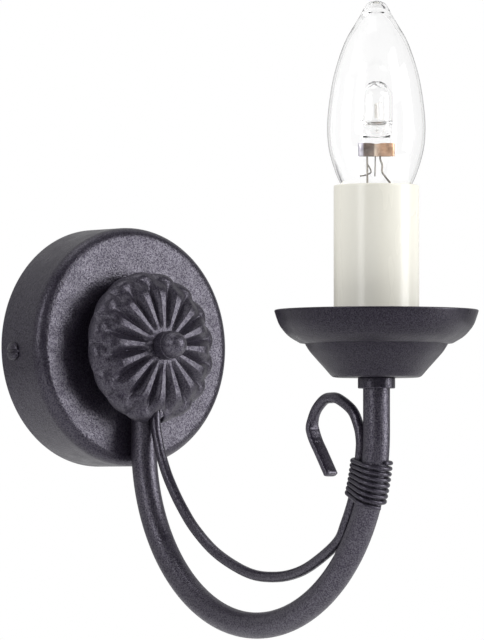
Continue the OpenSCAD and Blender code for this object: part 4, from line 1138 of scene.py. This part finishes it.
bulb_glass = clear_glass("bulb_glass", 0.1)
glass_shape = np.array([
    (8, -6.6), (8.6, -4.6), (10.6, -2.2), (12.5, 0), (14.7, 5), (16.8, 12.3), (17.5, 19.4), (17.1, 27),
    (15.6, 37), (13.5, 44.8), (10.9, 51.7), (8, 56.8), (5.7, 60.6), (4.6, 62.7), (3.4, 64.6),
    (1.6, 65.6), (0, 65.9),
])
glass_wall = 0.8
glass_inner_tip = np.array([(9.9, 51.6), (7.0, 56.2), (4.6, 59.6), (2.4, 61.8), (0, 62.6)])


def glass_side(points):
    """A side of the bulb above the sleeve's mouth: a smooth curve through its points, kept off the axis."""
    curve = smooth_line(points + (0, sleeve_top_z), 10)
    return np.stack([np.maximum(0, curve[:, 0]), curve[:, 1]], axis=1)


glass_inner = glass_shape[glass_shape[:, 1] < glass_inner_tip[0, 1]] - (glass_wall, 0)
glass_profile = np.concatenate([
    glass_side(glass_shape), glass_side(np.concatenate([glass_inner, glass_inner_tip]))[::-1]
])
glass = skin(
    "lamp_glass_blown", "lamp_glass",
    turned(glass_profile, "candle", 160), "lamp", bulb_glass,
    closed_along=True, sharp=80,
)
glass.visible_shadow = False

stem_profile = finer([
    (0, 47.8), (6.6, 47.8), (7.0, 48.1), (7.0, 48.8), (5.4, 49.6), (3.8, 50.3), (3.0, 51.1), (2.2, 51.4),
    (0, 51.4),
], 0.4)
stem = skin(
    "lamp_stem_melted", "lamp_stem",
    turned(stem_profile, "candle", 64), "lamp", bulb_glass, sharp=60
)
stem.visible_shadow = False


# Lamp supports and clip
# Two nickel-iron wires rise from the stem, one bent into a spring, and carry a pressed strip round the
# capsule's foot. A thin lead hangs from the foot, and a short cross wire is welded to the left wire.
lamp_turn = math.radians(-38)


def on_lamp(points):
    """Turns points in the lamp's own frame (mm from its axis) by the lamp's turn and sets them on it."""
    x, y, z = points[..., 0], points[..., 1], points[..., 2]
    c, s = math.cos(lamp_turn), math.sin(lamp_turn)
    return places_of(x * c - y * s, x * s + y * c - candle_out, z)


def banded_strip(name):
    """Copper-plated strip: with the mark 'along' it goes from grey at its left end over dark brown and a
    pale seam to copper at its right."""
    material = metal(name, (1, 1, 1, 1), (0.5, 0.5, 0.5, 1), smooth=0.25, rough=0.5, cloud_scale=420.0)
    tree = material.node_tree
    shader = next(node for node in tree.nodes if node.type == "BSDF_PRINCIPLED")
    clouds = shader.inputs["Base Color"].links[0].from_socket
    tones = add_node(tree, "ShaderNodeValToRGB", links={"Fac": mark_of(tree, "along")})
    stops = tones.color_ramp.elements
    stops[0].position, stops[0].color = 0.12, (0.52, 0.5, 0.56, 1)
    stops[1].position, stops[1].color = 0.62, (0.5, 0.31, 0.2, 1)
    for position, colour in ((0.16, (0.16, 0.12, 0.1, 1)), (0.42, (0.2, 0.15, 0.12, 1)),
                             (0.46, (0.75, 0.62, 0.5, 1)), (0.56, (0.7, 0.5, 0.36, 1))):
        stops.new(position).color = colour
    tinted = add_node(
        tree, "ShaderNodeMix", {"data_type": "RGBA", "blend_type": "MULTIPLY", "Factor": 1.0}
    )
    tree.links.new(tones.outputs["Color"], tinted.inputs["A"])
    tree.links.new(clouds, tinted.inputs["B"])
    tree.links.new(tinted.outputs["Result"], shader.inputs["Base Color"])
    return material


support_steel = metal("support_steel", (0.26, 0.24, 0.21, 1), (0.1, 0.09, 0.08, 1), smooth=0.25, rough=0.5)
copper_strip = banded_strip("copper_strip")
left_support = [(-2.8, 0, 48.2), (-3.0, 0, 52.0), (-3.2, 0, 55.0), (-3.2, 0, 61.5), (-3.3, 0, 66.5)]
right_support = [(2.8, 0, 48.2), (4.0, 0, 51.6), (5.2, 0, 54.6), (3.6, 0, 57.0), (2.1, 0, 59.2),
                 (2.1, 0, 61.7), (1.4, 0, 63.9), (1.5, 0, 66.5)]
centre_lead = [(-0.4, 0.2, 66.4), (-0.4, 0.2, 62.5), (-0.5, 0.2, 57.7)]
cross_wire = [(-3.2, 0.4, 62.0), (-2.4, 0.5, 60.9), (-1.9, 0.5, 59.2), (-3.4, 0.5, 58.3),
              (-6.0, 0.5, 57.8)]
for label, route, radius in (
    ("left", left_support, 0.34), ("right", right_support, 0.34), ("lead", centre_lead, 0.22),
    ("brace", cross_wire, 0.26),
):
    support = tube_skin(on_lamp(smooth_line(route, 8)), radius, 14, (0, 1, 0))
    skin("lamp_support_" + label, "lamp_supports", support, "lamp", support_steel)


def strip_round_pinch():
    """A flat strip bent into a long loop: a squared oval path, swept by a section 0.34 thick and 4.6 high
    with rounded edges; its top edge dips a little at the middle. Gives the grid and each ring's place
    along the loop's length, 0 at the left and 1 at the right."""
    half_size = np.array([6.4, 1.75])
    half_t = 0.17
    low_z = 64.8
    high_z = 69.4
    squareness = 0.45
    dip_depth = 0.35
    dip_half_w = 1.2
    turn = round_angles(96)
    ring = half_size * signed_power(np.stack([np.cos(turn), np.sin(turn)], axis=1), squareness)
    section = soften([(-half_t, low_z), (half_t, low_z), (half_t, high_z), (-half_t, high_z)], 0.1, steps=3)
    out = ring / half_size ** 2
    out = out / np.linalg.norm(out, axis=1)[:, None]
    places = ring[:, None] + section[None, :, :1] * out[:, None]
    dip = dip_depth * np.exp(-(ring[:, :1] / dip_half_w) ** 2)
    height = section[None, :, 1] - dip * (section[None, :, 1] > (low_z + high_z) / 2)
    return np.concatenate([places, height[..., None]], axis=-1), (ring[:, :1] / half_size[0] + 1) / 2


strip_grid, strip_along = strip_round_pinch()
skin(
    "capsule_clip_pressed", "capsule_clip",
    on_lamp(strip_grid), "lamp", copper_strip,
    closed_along=True, marks={"along": strip_along},
)


# Halogen capsule
# A small quartz tube, pinched flat at its foot and sealed with a puckered tip, stands in the clip.
# Its tungsten coil hangs between two leads that come up through the pinch.
capsule_r = 5.75
capsule_t = 0.9
capsule_foot_z = 65.24
capsule_shoulder_z = 85.6
cavity_low_z = 75.2
pinch_half_w = 4.8
pinch_half_t = 1.5
pinch_top_z = 71
pinch_blend_h = 3.5
capsule_dome_h = 5.7
inner_dome_h = 4.7


def capsule_grid():
    """Outside: rings of half width w and half thickness t, x = w c^n and y = t s^n, that go from the flat
    pinch (4.8 by 1.5, n = 0.4) to the round tube (n = 1) between z 71 and 74.5, then a dome with a pucker
    of five folds. Inside: the same dome and tube a wall smaller, closed above the pinch."""
    a = round_angles(72)
    c, s = np.cos(a), np.sin(a)
    z = np.concatenate([[capsule_foot_z, 65.3, 65.5], np.linspace(66, capsule_shoulder_z, 60)])[:, None]
    share = eased((z - pinch_top_z) / pinch_blend_h)
    narrow = np.minimum(1, 0.9 + (z - capsule_foot_z) / 2.5)
    n = 0.4 + 0.6 * share
    w = (pinch_half_w + (capsule_r - pinch_half_w) * share) * narrow
    t = (pinch_half_t + (capsule_r - pinch_half_t) * share) * narrow
    body = places_of(w * signed_power(c, n), t * signed_power(s, n), z)
    up = np.linspace(0, np.pi / 2, 20)[1:, None]
    r = capsule_r * np.cos(up)
    pucker = 1.12 * np.sin(up) ** 6 * np.cos(5 * a) * np.cos(up)
    dome = places_of(r * c, r * s, capsule_shoulder_z + capsule_dome_h * np.sin(up) ** 1.1 + pucker)
    inside_r = capsule_r - capsule_t
    r = inside_r * np.cos(up[::-1])
    inner_dome = places_of(r * c, r * s, capsule_shoulder_z + inner_dome_h * np.sin(up[::-1]))
    z = np.linspace(capsule_shoulder_z, cavity_low_z, 24)[:, None]
    r = inside_r * np.minimum(1, 0.35 + 0.65 * np.sqrt(np.clip((z - cavity_low_z) / 2.0, 0, 1)))
    inner = places_of(r * c, r * s, z)
    rings = np.concatenate([body, dome, inner_dome, inner])
    return capped(rings, (0, 0, capsule_foot_z), (0, 0, cavity_low_z))


capsule_glass = clear_glass("capsule_glass", 0.4, ripple=0.00004)
capsule = skin(
    "lamp_capsule_quartz", "lamp_capsule",
    on_lamp(capsule_grid()), "lamp", capsule_glass, sharp=70
)
capsule.visible_shadow = False

tungsten = metal(
    "tungsten", (0.8, 0.78, 0.74, 1), (0.6, 0.58, 0.56, 1), smooth=0.3, rough=0.5, cloud_scale=900.0
)
coil_turns = 13
coil_r = 0.62
coil_low_z = 78.4
coil_h = 5.1
coil_angle = np.linspace(0, 2 * np.pi * coil_turns, coil_turns * 20)
coil_z = coil_low_z + coil_h * coil_angle / coil_angle[-1]
coil = np.concatenate([
    [(0.2, 0, 74.4), (0.3, 0, 76.5), (coil_r, 0, 78.1)],
    places_of(coil_r * np.cos(coil_angle), coil_r * np.sin(coil_angle), coil_z),
    [(0.9, 0, 84.0), (1.8, 0, 83.9), (2.3, 0, 82.6), (2.4, 0, 79.0), (2.2, 0, 74.6)],
])
coil_grid = tube_skin(on_lamp(coil), 0.12, 8, (0, 1, 0.2))
skin("filament_coiled", "filament", coil_grid, "lamp", tungsten)
